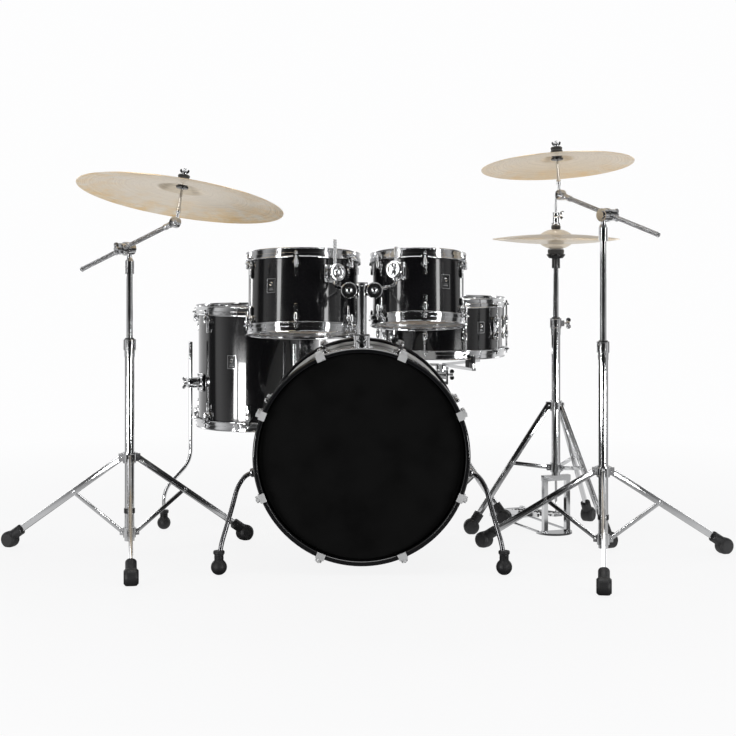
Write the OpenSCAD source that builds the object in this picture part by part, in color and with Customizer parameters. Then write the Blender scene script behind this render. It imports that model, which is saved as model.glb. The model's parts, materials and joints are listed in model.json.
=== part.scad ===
// Five-piece acoustic drum kit with two boom cymbal stands, a hi-hat stand,
// a snare stand and a bass drum pedal. Millimetres, +Z up.
// The bass drum faces -Y and the drummer sits at +Y.
// The origin is on the floor, in the middle of the kit's footprint.

/* [Bass drum] */
// Outside diameter of the bass drum shell
bass_d = 506; // [500:1:512]
// Depth of the bass drum shell
bass_depth = 406; // [400:1:412]
// Width of each bass drum hoop
bass_hoop_w = 34; // [30:1:38]
// Height of the bass drum axis above the floor
bass_z = 291; // [288:1:294]
// Number of tension rods on each head of the bass drum
bass_rods = 8; // [8:1:8]

/* [Toms] */
// Shell diameter of the larger rack tom
left_tom_d = 300; // [296:1:304]
// Shell depth of the larger rack tom
left_tom_depth = 203; // [195:1:205]
// Shell diameter of the smaller rack tom
right_tom_d = 250; // [246:1:254]
// Shell depth of the smaller rack tom
right_tom_depth = 176; // [170:1:180]
// Tilt of the larger rack tom towards the drummer
left_tom_tilt = 7.5; // [6:0.5:9]
// Tilt of the smaller rack tom towards the drummer
right_tom_tilt = 9; // [8:0.5:10]
// Shell diameter of the floor tom
floor_tom_d = 354; // [350:1:358]
// Shell depth of the floor tom
floor_tom_depth = 332; // [325:1:336]

/* [Snare drum] */
// Shell diameter of the snare drum
snare_d = 354; // [350:1:356]
// Shell depth of the snare drum
snare_depth = 152; // [148:1:156]
// Height of the middle of the snare drum above the floor
snare_z = 573; // [570:1:576]

/* [Cymbals] */
// Diameter of the ride cymbal
ride_d = 533; // [508:1:540]
// Diameter of the crash cymbal
crash_d = 406; // [381:1:420]
// Diameter of the hi-hat cymbals
hat_d = 356; // [330:1:356]
// Thickness of a cymbal
cymbal_t = 1.4; // [1.2:0.1:1.6]

/* [Stands] */
// Outside diameter of the lower tubes of the stands
tube_d = 25.4; // [25:0.1:26]
// Diameter of the upper tubes of the stands
mast_d = 17; // [16:0.5:18]
// Distance from a cymbal stand's tube to the middle of its rubber feet
stand_reach = 370; // [360:1:375]
// Height of the leg pivots on the cymbal stands
stand_hub_z = 254; // [250:1:260]
// Height of the lower brace pivots on the cymbal stands
stand_low_z = 62; // [58:1:66]
// Height of the boom clamp on the ride stand
left_clamp_z = 805; // [800:1:830]
// Height of the boom clamp on the crash stand
right_clamp_z = 892; // [888:1:910]
// Height at which the closed hi-hat cymbals meet
hat_z = 830; // [820:1:840]
// Length of each boom arm
boom_len = 348; // [340:1:360]

/* [Shells and heads] */
// Wall of the drum shells
shell_wall = 7; // [5:0.5:8]
// Height by which a steel hoop stands above its head
hoop_rise = 11; // [10:0.5:12]

/* [Hidden] */

// Moves the drums' own frame so that the origin is the middle of the footprint
kit_shift = [12.5, -402.95, 0];

// Places in the drums' own frame: y = 0 at the front face of the bass drum
bass_x = -16;
bass_edge_y = 24;
bass_mid_y = bass_edge_y + bass_depth / 2;
left_tom_at = [-178, 440, 677.5];
right_tom_at = [138, 440, 690];
floor_tom_at = [-320, 757, 461];
snare_at = [219, 781, snare_z];
left_stand_at = [-625, 243, 0];
right_stand_at = [602, 143, 0];
hihat_at = [530, 565, 0];
snare_stand_at = [snare_at.x, snare_at.y, 0];

// Turn of each tripod's first leg, and its reach
left_stand_turn = -81;
right_stand_turn = -98;
hihat_turn = 180;
snare_stand_turn = 100;
hihat_reach = 246;
snare_reach = 195;
hat_hub_z = 361;
hat_low_z = 187;
snare_hub_z = 250;
snare_low_z = 60;

// Clear running gap around a sliding or turning round part
fit = 0.05;
// Gap left between pieces that only touch
gap = 0.3;

// Fasteners and tension rods
rod_d = 5.5;
rod_out = 13;
lug_w = 20;

function rad_of(d) = d / 2;
// A point of a tilted drum's own frame, in the kit's frame
function tilted(p, tilt, at) = at + [p.x,
    p.y * cos(tilt) + p.z * sin(tilt),
    -p.y * sin(tilt) + p.z * cos(tilt)];
function unit(v) = v / norm(v);
function flat_dir(a) = [cos(a), sin(a), 0];

// ---------- helpers ----------

module kit() { translate(kit_shift) children(); }

module steel() { color([0.78, 0.79, 0.81]) children(); }

module black_gloss() { color([0.03, 0.03, 0.035]) children(); }

module rubber() { color([0.05, 0.05, 0.05]) children(); }

module bronze() { color([0.72, 0.58, 0.36]) children(); }

module film(c) { color(c) children(); }

// Turns +Z to the direction v
module aim(v) {
    b = acos(v.z / norm(v));
    c = atan2(v.y, v.x);
    rotate([0, b, c]) children();
}

// Round bar between two points
module bar(p, q, d) {
    translate(p) aim(q - p) cylinder(d = d, h = norm(q - p), $fn = 32);
}

// Round bar through several points, with ball corners
module bent_bar(pts, d) {
    union() {
        for (i = [0 : len(pts) - 2]) bar(pts[i], pts[i + 1], d);
        for (i = [1 : len(pts) - 2]) translate(pts[i]) sphere(d = d + 1.2, $fn = 40);
    }
}

// Flat bar between two points, w high and t thick
module flat_bar(p, q, w, t) {
    v = q - p;
    b = acos(v.z / norm(v));
    c = atan2(v.y, v.x);
    translate(p) rotate([0, b, c]) translate([-w / 2, -t / 2, 0]) cube([w, t, norm(v)]);
}

// Ring with a square section
module ring(ro, ri, h) {
    difference() {
        cylinder(r = ro, h = h, $fn = 64);
        translate([0, 0, -1]) cylinder(r = ri, h = h + 2, $fn = 64);
    }
}

// Wing screw: shank along +Z with two wings at its end
module wing_screw(l, wing = 15) {
    cylinder(d = 6, h = l, $fn = 24);
    translate([0, 0, l - 2]) cylinder(d = 12, h = 9, $fn = 32);
    for (s = [-1, 1]) translate([s * wing * 0.7, 2, l + 4]) rotate([90, 0, 0])
        cylinder(d = wing, h = 4, $fn = 32);
    translate([-wing * 0.7, -2, l + 1]) cube([wing * 1.4, 4, 5]);
}

// ---------- drum parts, in a drum's own frame: axis +Z, middle at 0 ----------

// Open shell with bevelled bearing edges
module shell(d, depth, wall) {
    r = rad_of(d);
    h = depth / 2;
    rotate_extrude($fn = 128) polygon([[r - wall, -h + wall - 1], [r - 1.5, -h],
        [r, -h + 1.5], [r, h - 1.5], [r - 1.5, h], [r - wall, h - wall + 1]]);
}

// Head: a thin film that turns down over the edge into its flesh hoop
module head(d) {
    r = rad_of(d);
    rotate_extrude($fn = 128) polygon([[0, 0.1], [r + 0.6, 0.1], [r + 0.6, -12],
        [r + 4.6, -12], [r + 4.6, -6], [r + 1.4, -6], [r + 1.4, 0.8], [0, 0.8]]);
}

// Triple-flanged steel hoop, over a head whose bearing edge is at 0
module steel_hoop(d, rise) {
    r = rad_of(d);
    rotate_extrude($fn = 128) polygon([[r + 2, -5.7], [r + 2, rise - 3],
        [r + 3.2, rise], [r + 7, rise], [r + 7.4, rise - 2], [r + 4.3, rise - 3],
        [r + 4.3, -3.2], [r + 7.2, -3.2], [r + 7.2, -13], [r + 9.8, -14],
        [r + 9.5, -16.2], [r + 5.2, -14.6], [r + 5.2, -5.7]]);
}

// Ears of a steel hoop, with their rod holes
module hoop_ears(d, n, turn) {
    r = rad_of(d);
    for (i = [0 : n - 1]) rotate([0, 0, turn + i * 360 / n]) difference() {
        translate([r + 6.4, -9, -12.5]) cube([rod_out + 0.5, 18, 3.5]);
        translate([r + rod_out, 0, -20]) cylinder(d = rod_d + 1, h = 20, $fn = 32);
    }
}

// One lug: a round boss near the hoop and a slim tail, with a mounting pad
module lug(r, l) {
    translate([r + 0.4, 0, 0]) {
        rotate([0, 90, 0]) {
            cylinder(d = lug_w, h = 4, $fn = 48);
            translate([0, 0, 3.9]) cylinder(d1 = lug_w - 1, d2 = lug_w - 7, h = 4, $fn = 48);
        }
        translate([0, -lug_w * 0.28, -l * 0.62]) cube([6, lug_w * 0.56, l * 0.62]);
        translate([0, 0, -l * 0.62]) rotate([0, 90, 0]) cylinder(d = lug_w * 0.56, h = 6, $fn = 32);
        translate([rod_out - 0.4, 0, -8]) cylinder(d = 11, h = 20, $fn = 32);
        translate([2, -3, -6]) cube([rod_out - 4, 6, 18]);
    }
}

// Tension rod with a square key head above the hoop's ear
module tension_rod(r, top, l) {
    translate([r + rod_out, 0, 0]) {
        translate([0, 0, top - l]) cylinder(d = rod_d, h = l, $fn = 24);
        translate([0, 0, top + 0.05]) cylinder(d = 11, h = 2, $fn = 32);
        translate([-3, -3, top + 2]) cube([6, 6, 8]);
    }
}

// Round foot with a flat sole, standing on z = 0
module ball_foot(r) {
    rotate_extrude($fn = 64) polygon(concat([[0, 0]],
        [for (i = [0 : 11]) let (a = -70 + i * 14) [r * cos(a), r * (sin(a) + sin(70))]],
        [[0, r * (1 + sin(70))]]));
}

// All lugs and rods of a drum, on both heads
module lug_set(d, depth, n, turn, l) {
    r = rad_of(d);
    for (s = [0, 1]) mirror([0, 0, s]) for (i = [0 : n - 1])
        rotate([0, 0, turn + i * 360 / n]) {
            translate([0, 0, depth / 2 - 30]) lug(r, l);
            translate([0, 0, depth / 2]) tension_rod(r, -8.8, 20);
        }
}

module hoop_pair(d, depth, n, turn) {
    for (s = [0, 1]) mirror([0, 0, s]) translate([0, 0, depth / 2]) {
        steel_hoop(d, hoop_rise);
        hoop_ears(d, n, turn);
    }
}

module head_pair(d, depth) {
    for (s = [0, 1]) mirror([0, 0, s]) translate([0, 0, depth / 2]) head(d);
}

// Places a tilted rack tom
module tom_frame(at, tilt) { kit() translate(at) rotate([-tilt, 0, 0]) children(); }

// ---------- bass drum ----------

// The bass drum's own frame: axis along the kit's Y, batter side at +Y
module bass_frame() {
    kit() translate([bass_x, bass_mid_y, bass_z]) rotate([-90, 0, 0]) children();
}

bass_r = bass_d / 2;
bass_flesh_out = 8.5;
bass_hoop_in = bass_r + 5;
bass_hoop_out = bass_r + 17;
post_y = 190;
post_d = 25.4;
spur_hole_a = 11;
spur_y = 112;

module bass_shell() {
    black_gloss() difference() {
        bass_frame() shell(bass_d, bass_depth, shell_wall);
        kit() translate([bass_x, post_y, bass_z + bass_r - 40])
            cylinder(d = post_d + 6, h = 80, $fn = 48);
    }
}

module bass_hoops() {
    black_gloss() bass_frame() for (s = [0, 1]) mirror([0, 0, s])
        translate([0, 0, bass_depth / 2 + bass_edge_y - bass_hoop_w])
            rotate_extrude($fn = 128) polygon([[bass_hoop_in, 1], [bass_hoop_in, bass_hoop_w - 2],
                [bass_hoop_in + 2, bass_hoop_w], [bass_hoop_out - 3, bass_hoop_w],
                [bass_hoop_out, bass_hoop_w - 3], [bass_hoop_out, 3],
                [bass_hoop_out - 3, 1]]);
}

// Bass head: film at the bearing edge, flesh hoop under the wooden hoop
module bass_head() {
    r = bass_r;
    low = bass_edge_y - bass_hoop_w + 0.7;
    rotate_extrude($fn = 128) polygon([[0, 0.1], [r + 0.6, 0.1], [r + 0.6, low - 8],
        [r + bass_flesh_out, low - 8], [r + bass_flesh_out, low],
        [r + 1.4, low], [r + 1.4, 0.8], [0, 0.8]]);
}

module bass_front_head() {
    film([0.02, 0.02, 0.022]) bass_frame() mirror([0, 0, 1])
        translate([0, 0, bass_depth / 2]) bass_head();
}

module bass_batter_head() {
    film([0.85, 0.85, 0.83]) bass_frame() translate([0, 0, bass_depth / 2]) bass_head();
}

// Radius of the bass tension rods, outside the hoop
bass_rod_out = 24;

module bass_lug() {
    translate([bass_r + 0.4, 0, 0]) {
        rotate([0, 90, 0]) cylinder(d = 24, h = 5, $fn = 48);
        rotate([0, 90, 0]) translate([0, 0, 4.9]) cylinder(d1 = 22, d2 = 14, h = 8, $fn = 48);
        translate([0, -6, -34]) cube([7, 12, 34]);
        translate([0, 0, -34]) rotate([0, 90, 0]) cylinder(d = 12, h = 7, $fn = 32);
        translate([2, -4, -8]) cube([bass_rod_out - 6, 8, 20]);
        translate([bass_rod_out - 0.4, 0, -10]) cylinder(d = 12, h = 26, $fn = 32);
    }
}

module bass_lugs() {
    steel() bass_frame() for (s = [0, 1]) mirror([0, 0, s]) for (i = [0 : bass_rods - 1])
        rotate([0, 0, 22.5 + i * 360 / bass_rods])
            translate([0, 0, bass_depth / 2 - 72]) bass_lug();
}

// Claw over the hoop, with its tension rod
module bass_claw() {
    reach = bass_edge_y + 0.4;
    difference() {
        union() {
            translate([bass_hoop_in - 1, -11, reach]) cube([14, 22, 3]);
            translate([bass_hoop_out + 0.4, -11, reach - 30]) cube([3, 22, 33]);
            translate([bass_hoop_out + 3, -8, reach - 22]) cube([bass_rod_out - 15, 16, 12]);
        }
        translate([bass_r + bass_rod_out, 0, reach - 30]) cylinder(d = 6.2, h = 30, $fn = 32);
    }
    translate([bass_r + bass_rod_out, 0, reach - 86]) cylinder(d = 5.8, h = 77, $fn = 24);
    translate([bass_r + bass_rod_out, 0, reach - 9.9]) cylinder(d = 12, h = 6, $fn = 32);
    translate([bass_r + bass_rod_out - 3, -3, reach - 4]) cube([6, 6, 8]);
}

module bass_claws() {
    steel() bass_frame() for (s = [0, 1]) mirror([0, 0, s]) for (i = [0 : bass_rods - 1])
        rotate([0, 0, 22.5 + i * 360 / bass_rods])
            translate([0, 0, bass_depth / 2]) bass_claw();
}

// Spur socket on the shell's side: s is -1 for the left one
module spur_socket(s) {
    kit() translate([bass_x, spur_y, bass_z]) rotate([0, s * (90 + spur_hole_a), 0]) {
        translate([0, 0, bass_r + 0.6]) {
            translate([-26, -22, 0]) cube([52, 44, 5]);
            difference() {
                cylinder(d = 34, h = 20, $fn = 48);
                translate([0, 0, 8]) cylinder(r = 11.5 + fit, h = 20, $fn = 48);
            }
        }
    }
}

module tom_post_base() {
    kit() translate([bass_x, post_y, bass_z + bass_r]) {
        difference() {
            union() {
                translate([-28, -32, 1.2]) cube([56, 64, 6]);
                translate([0, 0, 7]) cylinder(d = 42, h = 30, $fn = 64);
                translate([-9, -32, 18]) cube([18, 20, 15]);
            }
            translate([0, 0, -20]) cylinder(r = post_d / 2 + fit, h = 80, $fn = 64);
        }
        translate([0, -32.5, 25]) rotate([90, 0, 0]) wing_screw(8);
    }
}

module bass_brackets() {
    steel() {
        spur_socket(-1);
        spur_socket(1);
        tom_post_base();
    }
}

// Curved spur leg with its hub and rubber foot, s is -1 for the left one
spur_a = unit([cos(spur_hole_a), 0, -sin(spur_hole_a)]);
function spur_pivot(s) = [bass_x + s * (bass_r + 22) * spur_a.x, spur_y,
    bass_z + (bass_r + 22) * spur_a.z];
function spur_foot(s) = [bass_x + s * 353, 8, 24];

module spur(s) {
    p = spur_pivot(s);
    f = spur_foot(s);
    pts = [p + [s * 4, 0, -1], p + [s * 26, -6, -8], p + [s * 44, -18, -34],
        p + [s * 56, -40, -84], f + [-s * 4, 10, 46], f + [0, 0, 6]];
    steel() kit() {
        translate(spur_pivot(s)) rotate([0, s * (90 + spur_hole_a), 0])
            translate([0, 0, -12]) cylinder(d = 23, h = 26, $fn = 48);
        bent_bar(pts, 12);
    }
    rubber() kit() translate([f.x, f.y, 0]) {
        ball_foot(20);
        translate([-s, 3, 22]) cylinder(d = 24, h = 36, $fn = 48);
        translate([-s, 3, 51]) cylinder(d = 29, h = 8, $fn = 48);
    }
}

module left_spur() { spur(-1); }

module right_spur() { spur(1); }

// ---------- floor tom ----------

floor_lug_turn = -95.6;
floor_lugs = 8;
floor_leg_turns = [204, 302, 70];
floor_leg_r = floor_tom_d / 2 + 33;
floor_leg_d = 11;
floor_bracket_z = 416;
floor_leg_top = 534;
floor_leg_bend = 190;
floor_leg_out = 80;

module floor_frame() { kit() translate(floor_tom_at) children(); }

module floor_tom_shell() {
    black_gloss() floor_frame() shell(floor_tom_d, floor_tom_depth, shell_wall);
}

module floor_tom_hoops() {
    steel() floor_frame() hoop_pair(floor_tom_d, floor_tom_depth, floor_lugs, floor_lug_turn);
}

module floor_tom_heads() {
    film([0.86, 0.86, 0.84]) floor_frame() head_pair(floor_tom_d, floor_tom_depth);
}

module floor_tom_hardware() {
    steel() {
        floor_frame() lug_set(floor_tom_d, floor_tom_depth, floor_lugs, floor_lug_turn, 54);
        leg_brackets();
    }
}

// Brackets that clamp the floor tom's legs
module leg_brackets() {
    kit() for (a = floor_leg_turns)
        translate([floor_tom_at.x, floor_tom_at.y, floor_bracket_z]) rotate([0, 0, a]) {
            difference() {
                union() {
                    translate([floor_tom_d / 2 + 0.6, -22, -26]) cube([5, 44, 52]);
                    translate([floor_tom_d / 2 + 5, -15, -15]) cube([38, 30, 30]);
                }
                translate([floor_leg_r, 0, -40])
                    cylinder(r = floor_leg_d / 2 + fit, h = 80, $fn = 48);
            }
            translate([floor_leg_r + 10.5, 0, 0]) rotate([0, 90, 0]) wing_screw(10);
        }
}

// Leg with an upper straight, an outward bend and a rubber foot
module floor_leg(a) {
    c = [floor_tom_at.x, floor_tom_at.y, 0];
    p = c + floor_leg_r * flat_dir(a);
    q = c + (floor_leg_r + floor_leg_out) * flat_dir(a);
    steel() kit() bent_bar([[p.x, p.y, floor_leg_top], [p.x, p.y, floor_leg_bend],
        [q.x, q.y, floor_leg_bend - 78], [q.x, q.y, 20]], floor_leg_d);
    rubber() kit() translate([q.x, q.y, 0]) {
        ball_foot(19);
        translate([0, 0, 20]) cylinder(d = 23, h = 34, $fn = 48);
        translate([0, 0, 46]) cylinder(d = 27, h = 8.5, $fn = 48);
    }
}

module floor_tom_leg_left() { floor_leg(floor_leg_turns[0]); }

module floor_tom_leg_front() { floor_leg(floor_leg_turns[1]); }

module floor_tom_leg_rear() { floor_leg(floor_leg_turns[2]); }

// ---------- rack toms and their holder ----------

tom_lugs = 6;
left_lug_turn = -94.5;
right_lug_turn = -84.1;
arm_d = 10.5;
ball_z = 698;
ball_dx = 33;
ball_d = 24;
bracket_out = 25;
left_arm_turn = -59;
right_arm_turn = -115;
left_bracket_z = 44;
right_bracket_z = 37;
arm_top_left = 133;
arm_top_right = 99;
left_ball = [bass_x - ball_dx, post_y, ball_z];
right_ball = [bass_x + ball_dx, post_y, ball_z];

function arm_local(d, a, z) = (d / 2 + bracket_out) * flat_dir(a) + [0, 0, z];

module left_tom_frame() { tom_frame(left_tom_at, left_tom_tilt) children(); }

module right_tom_frame() { tom_frame(right_tom_at, right_tom_tilt) children(); }

module left_tom_shell() {
    black_gloss() left_tom_frame() shell(left_tom_d, left_tom_depth, shell_wall);
}

module left_tom_hoops() {
    steel() left_tom_frame() hoop_pair(left_tom_d, left_tom_depth, tom_lugs, left_lug_turn);
}

module left_tom_heads() {
    film([0.86, 0.86, 0.84]) left_tom_frame() head_pair(left_tom_d, left_tom_depth);
}

module left_tom_lugs() {
    steel() left_tom_frame() lug_set(left_tom_d, left_tom_depth, tom_lugs, left_lug_turn, 52);
}

module right_tom_shell() {
    black_gloss() right_tom_frame() shell(right_tom_d, right_tom_depth, shell_wall);
}

module right_tom_hoops() {
    steel() right_tom_frame() hoop_pair(right_tom_d, right_tom_depth, tom_lugs, right_lug_turn);
}

module right_tom_heads() {
    film([0.86, 0.86, 0.84]) right_tom_frame() head_pair(right_tom_d, right_tom_depth);
}

module right_tom_lugs() {
    steel() right_tom_frame() lug_set(right_tom_d, right_tom_depth, tom_lugs, right_lug_turn, 48);
}

// Bracket on a tom's shell, with the clamp that slides on the arm
module tom_bracket(d, a, z) {
    rotate([0, 0, a]) translate([0, 0, z]) {
        difference() {
            union() {
                translate([d / 2 + 0.6, -20, -24]) cube([4, 40, 48]);
                translate([d / 2 + 4, -12, -14]) cube([bracket_out + 6, 24, 28]);
            }
            translate([d / 2 + bracket_out, 0, -30])
                cylinder(r = arm_d / 2 + fit, h = 60, $fn = 48);
        }
        translate([d / 2 + bracket_out + 10.3, 0, 0]) rotate([0, 90, 0]) {
            cylinder(d = 44, h = 7, $fn = 64);
            translate([0, 0, 6.5]) wing_screw(5, 17);
        }
    }
}

module left_tom_bracket() {
    steel() left_tom_frame() tom_bracket(left_tom_d, left_arm_turn, left_bracket_z);
}

module right_tom_bracket() {
    steel() right_tom_frame() tom_bracket(right_tom_d, right_arm_turn, right_bracket_z);
}

// Bent arm: ball, level stretch, and a straight that runs along the tom's axis
module tom_arm(ball, at, tilt, d, a, low, top) {
    p = tilted(arm_local(d, a, low), tilt, at);
    q = tilted(arm_local(d, a, top), tilt, at);
    steel() kit() {
        translate(ball) sphere(d = ball_d, $fn = 48);
        bar(ball, ball + [0, 22, 0], arm_d);
        translate(ball + [0, 22, 0]) sphere(d = arm_d + 3.5, $fn = 40);
        bar(ball + [0, 22, 0], p, arm_d);
        translate(p) sphere(d = arm_d + 3.5, $fn = 40);
        bar(p, q, arm_d);
    }
}

module left_tom_arm() {
    tom_arm(left_ball, left_tom_at, left_tom_tilt, left_tom_d, left_arm_turn, 8, arm_top_left);
}

module right_tom_arm() {
    tom_arm(right_ball, right_tom_at, right_tom_tilt, right_tom_d, right_arm_turn, -3,
        arm_top_right);
}

// Ring clamp that holds an arm's ball, open towards the drummer and the front
module ball_ring(p) {
    translate(p) rotate([90, 0, 0]) difference() {
        translate([0, 0, -11]) cylinder(d = 36, h = 22, $fn = 64);
        sphere(r = ball_d / 2 + fit, $fn = 64);
        translate([0, 0, -20]) cylinder(d = 19.5, h = 40, $fn = 64);
    }
}

module tom_post() {
    steel() kit() {
        difference() {
            union() {
                translate([bass_x, post_y, 500]) cylinder(d = post_d, h = 210, $fn = 64);
                translate([bass_x - ball_dx + 14, post_y - 9, ball_z - 14])
                    cube([2 * ball_dx - 28, 18, 28]);
            }
            for (b = [left_ball, right_ball]) translate(b) rotate([90, 0, 0])
                translate([0, 0, -20]) cylinder(d = 35, h = 40, $fn = 64);
        }
        ball_ring(left_ball);
        ball_ring(right_ball);
        translate([bass_x, post_y, 709.5]) cylinder(d = 30, h = 9, $fn = 48);
        translate([bass_x, post_y - 8.5, ball_z]) rotate([90, 0, 0]) wing_screw(5, 13);
    }
}

// ---------- tripods ----------

leg_w = 17;
leg_t = 9;
brace_w = 11;
brace_t = 4;
hub_r = 17;
foot_d = 44;
foot_w = 36;

// A point on a tripod's leg: a is the leg's direction, k runs from hub to foot
function leg_top(a, hub_z) = (hub_r + 5) * flat_dir(a) + [0, 0, hub_z];
function leg_end(a, reach) = (reach - 14) * flat_dir(a) + [0, 0, 32];
function leg_point(a, hub_z, reach, k) =
    leg_top(a, hub_z) * (1 - k) + leg_end(a, reach) * k;

// Lower tube with both hubs and the clamp collar at its top
module stand_tube(hub_z, low_z, top_z, inner, turn) {
    low = low_z - 22;
    difference() {
        union() {
            translate([0, 0, low]) cylinder(d = tube_d, h = top_z - low, $fn = 64);
            translate([0, 0, hub_z - 14]) cylinder(r = hub_r, h = 28, $fn = 64);
            translate([0, 0, low_z - 13]) cylinder(r = hub_r - 1, h = 26, $fn = 64);
            translate([0, 0, top_z - 46]) cylinder(d = 28, h = 20, $fn = 64);
            translate([0, 0, top_z - 28]) cylinder(d = 33, h = 28, $fn = 64);
            for (i = [0 : 2]) rotate([0, 0, turn + 120 * i]) for (s = [-1, 1]) {
                translate([hub_r - 3, s * (leg_t / 2 + 2.3) - 1.5, hub_z - 10])
                    cube([14, 3, 20]);
                translate([hub_r - 3, s * (brace_t / 2 + 2.3) - 1.5, low_z - 8])
                    cube([12, 3, 16]);
            }
            rotate([0, 0, turn + 180]) translate([14, -6, top_z - 22]) cube([9, 12, 16]);
        }
        translate([0, 0, low - 1]) cylinder(r = inner / 2 + 1.4, h = top_z - low - 28, $fn = 64);
        translate([0, 0, low]) cylinder(r = inner / 2 + fit, h = top_z, $fn = 64);
    }
    rotate([0, 0, turn + 180]) translate([23.2, 0, top_z - 14]) rotate([0, 90, 0])
        wing_screw(8, 13);
}

// One leg with its brace
module tripod_leg(a, hub_z, low_z, reach, k) {
    flat_bar(leg_top(a, hub_z), leg_end(a, reach), leg_w, leg_t);
    q = leg_point(a, hub_z, reach, k);
    p = (hub_r + 4) * flat_dir(a) + [0, 0, low_z];
    flat_bar(p, q, brace_w, brace_t);
}

module tripod_legs(turn, hub_z, low_z, reach, k) {
    for (i = [0 : 2]) tripod_leg(turn + 120 * i, hub_z, low_z, reach, k);
}

// Rubber foot: a short fat wheel with a sleeve that takes the leg's end
module tripod_foot(a, hub_z, reach) {
    e = leg_end(a, reach);
    v = unit(leg_top(a, hub_z) - e);
    c = e - 12 * v;
    intersection() {
        union() {
            translate([c.x, c.y, foot_d / 2 - 2]) rotate([0, 0, a]) rotate([90, 0, 0])
                rotate_extrude($fn = 64) polygon([[0, -foot_w / 2], [foot_d / 2 - 6, -foot_w / 2],
                    [foot_d / 2 - 1, -foot_w / 2 + 5], [foot_d / 2, -foot_w / 2 + 10],
                    [foot_d / 2, foot_w / 2 - 10], [foot_d / 2 - 1, foot_w / 2 - 5],
                    [foot_d / 2 - 6, foot_w / 2], [0, foot_w / 2]]);
            difference() {
                bar(e - 10 * v, e + 30 * v, 28);
                translate(e - 0.2 * v) aim(v) translate([-leg_w / 2 - 0.2, -leg_t / 2 - 0.2, 0])
                    cube([leg_w + 0.4, leg_t + 0.4, 60]);
            }
        }
        translate([c.x - 100, c.y - 100, 0]) cube([200, 200, 200]);
    }
}

module tripod_feet(turn, hub_z, reach) {
    for (i = [0 : 2]) tripod_foot(turn + 120 * i, hub_z, reach);
}

left_hub_z = stand_hub_z + 4;
right_hub_z = stand_hub_z - 18;
cymbal_joint_z = 568;
hat_joint_z = 607;
snare_joint_z = 352;
snare_mast_d = 19;
hat_mast_d = 15.9;
brace_k = 0.44;
hat_brace_k = 0.49;
snare_brace_k = 0.5;
hat_rear = unit([-114, 292, 0]);

module cymbal_stand_tubes() {
    steel() kit() {
        translate(left_stand_at)
            stand_tube(left_hub_z, stand_low_z, cymbal_joint_z, mast_d, left_stand_turn);
        translate(right_stand_at)
            stand_tube(right_hub_z, stand_low_z, cymbal_joint_z, mast_d, right_stand_turn);
    }
}

module stand_legs() {
    steel() kit() {
        translate(left_stand_at)
            tripod_legs(left_stand_turn, left_hub_z, stand_low_z, stand_reach, brace_k);
        translate(right_stand_at)
            tripod_legs(right_stand_turn, right_hub_z, stand_low_z, stand_reach, brace_k);
        translate(hihat_at)
            tripod_legs(hihat_turn, hat_hub_z, hat_low_z, hihat_reach, hat_brace_k);
        translate(snare_stand_at)
            tripod_legs(snare_stand_turn, snare_hub_z, snare_low_z, snare_reach, snare_brace_k);
    }
}

module stand_feet() {
    rubber() kit() {
        translate(left_stand_at) tripod_feet(left_stand_turn, left_hub_z, stand_reach);
        translate(right_stand_at) tripod_feet(right_stand_turn, right_hub_z, stand_reach);
        translate(hihat_at) tripod_feet(hihat_turn, hat_hub_z, hihat_reach);
        translate(snare_stand_at) tripod_feet(snare_stand_turn, snare_hub_z, snare_reach);
    }
}

// ---------- boom stands ----------

// Level direction, and rise, of each boom arm from its clamp to the cymbal
left_boom_v = unit([134, -93, 61]);
right_boom_v = unit([-98, 119, 49]);
boom_d = 12;
left_boom_reach = 194;
right_boom_reach = 183;
boom_off = 26;
left_rod_v = unit([0.14, 0.186, 1]);
right_rod_v = unit([-0.05, 0.14, 1]);
ride_seat = 109;
crash_seat = 112;
rod_over = 34;

// Level direction across a boom: its clamp's axis
function across(v) = unit(cross([0, 0, 1], v));
function clamp_at(stand, z) = stand + [0, 0, z];
// Where the boom's own axis passes the clamp
function boom_mid(stand, z, v) = clamp_at(stand, z) - boom_off * across(v);
function tilter_at(stand, z, v, reach) = boom_mid(stand, z, v) + reach * v;
function tilter_axis(v, n) = unit(cross(v, n));

// Upper tube with the fixed half of the ratchet
module mast(stand, z, v) {
    w = across(v);
    translate(stand) {
        translate([0, 0, cymbal_joint_z - 190])
            cylinder(d = mast_d, h = z + 140 - cymbal_joint_z, $fn = 64);
        translate([0, 0, z - 66]) cylinder(d = 24, h = 34, $fn = 64);
        translate([0, 0, z - 34]) cylinder(d1 = 24, d2 = 14, h = 12, $fn = 48);
        translate([0, 0, z - 24]) cylinder(d = 14, h = 24, $fn = 48);
        bar(-8 * w + [0, 0, z], 8 * w + [0, 0, z], 34);
        bar(8 * w + [0, 0, z], 12 * w + [0, 0, z], 22);
    }
}

// Moving half of the ratchet: it grips the boom
module boom_clamp(stand, z, v) {
    w = across(v);
    c = clamp_at(stand, z);
    m = boom_mid(stand, z, v);
    difference() {
        union() {
            bar(c - 8.4 * w, c - 18 * w, 36);
            bar(c - 17 * w, c - (boom_off + 12) * w, 30);
        }
        bar(m - 40 * v, m + 40 * v, boom_d + 2 * fit);
    }
    translate(c - (boom_off + 12.2) * w) aim(-w) wing_screw(8, 14);
}

// Boom arm: a straight bar with the fixed half of the cymbal tilter
module boom_arm(t, v, n) {
    w = tilter_axis(v, n);
    bar(t - boom_len * v, t - 20 * v, boom_d);
    bar(t - 36 * v, t - 15.5 * v, boom_d + 4);
    bar(t - 24 * v + 4.5 * w, t + 4.5 * w, 8);
    bar(t, t + 9 * w, 28);
    bar(t - (boom_len + 4) * v, t - (boom_len + 0.1) * v, boom_d + 1.5);
}

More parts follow.
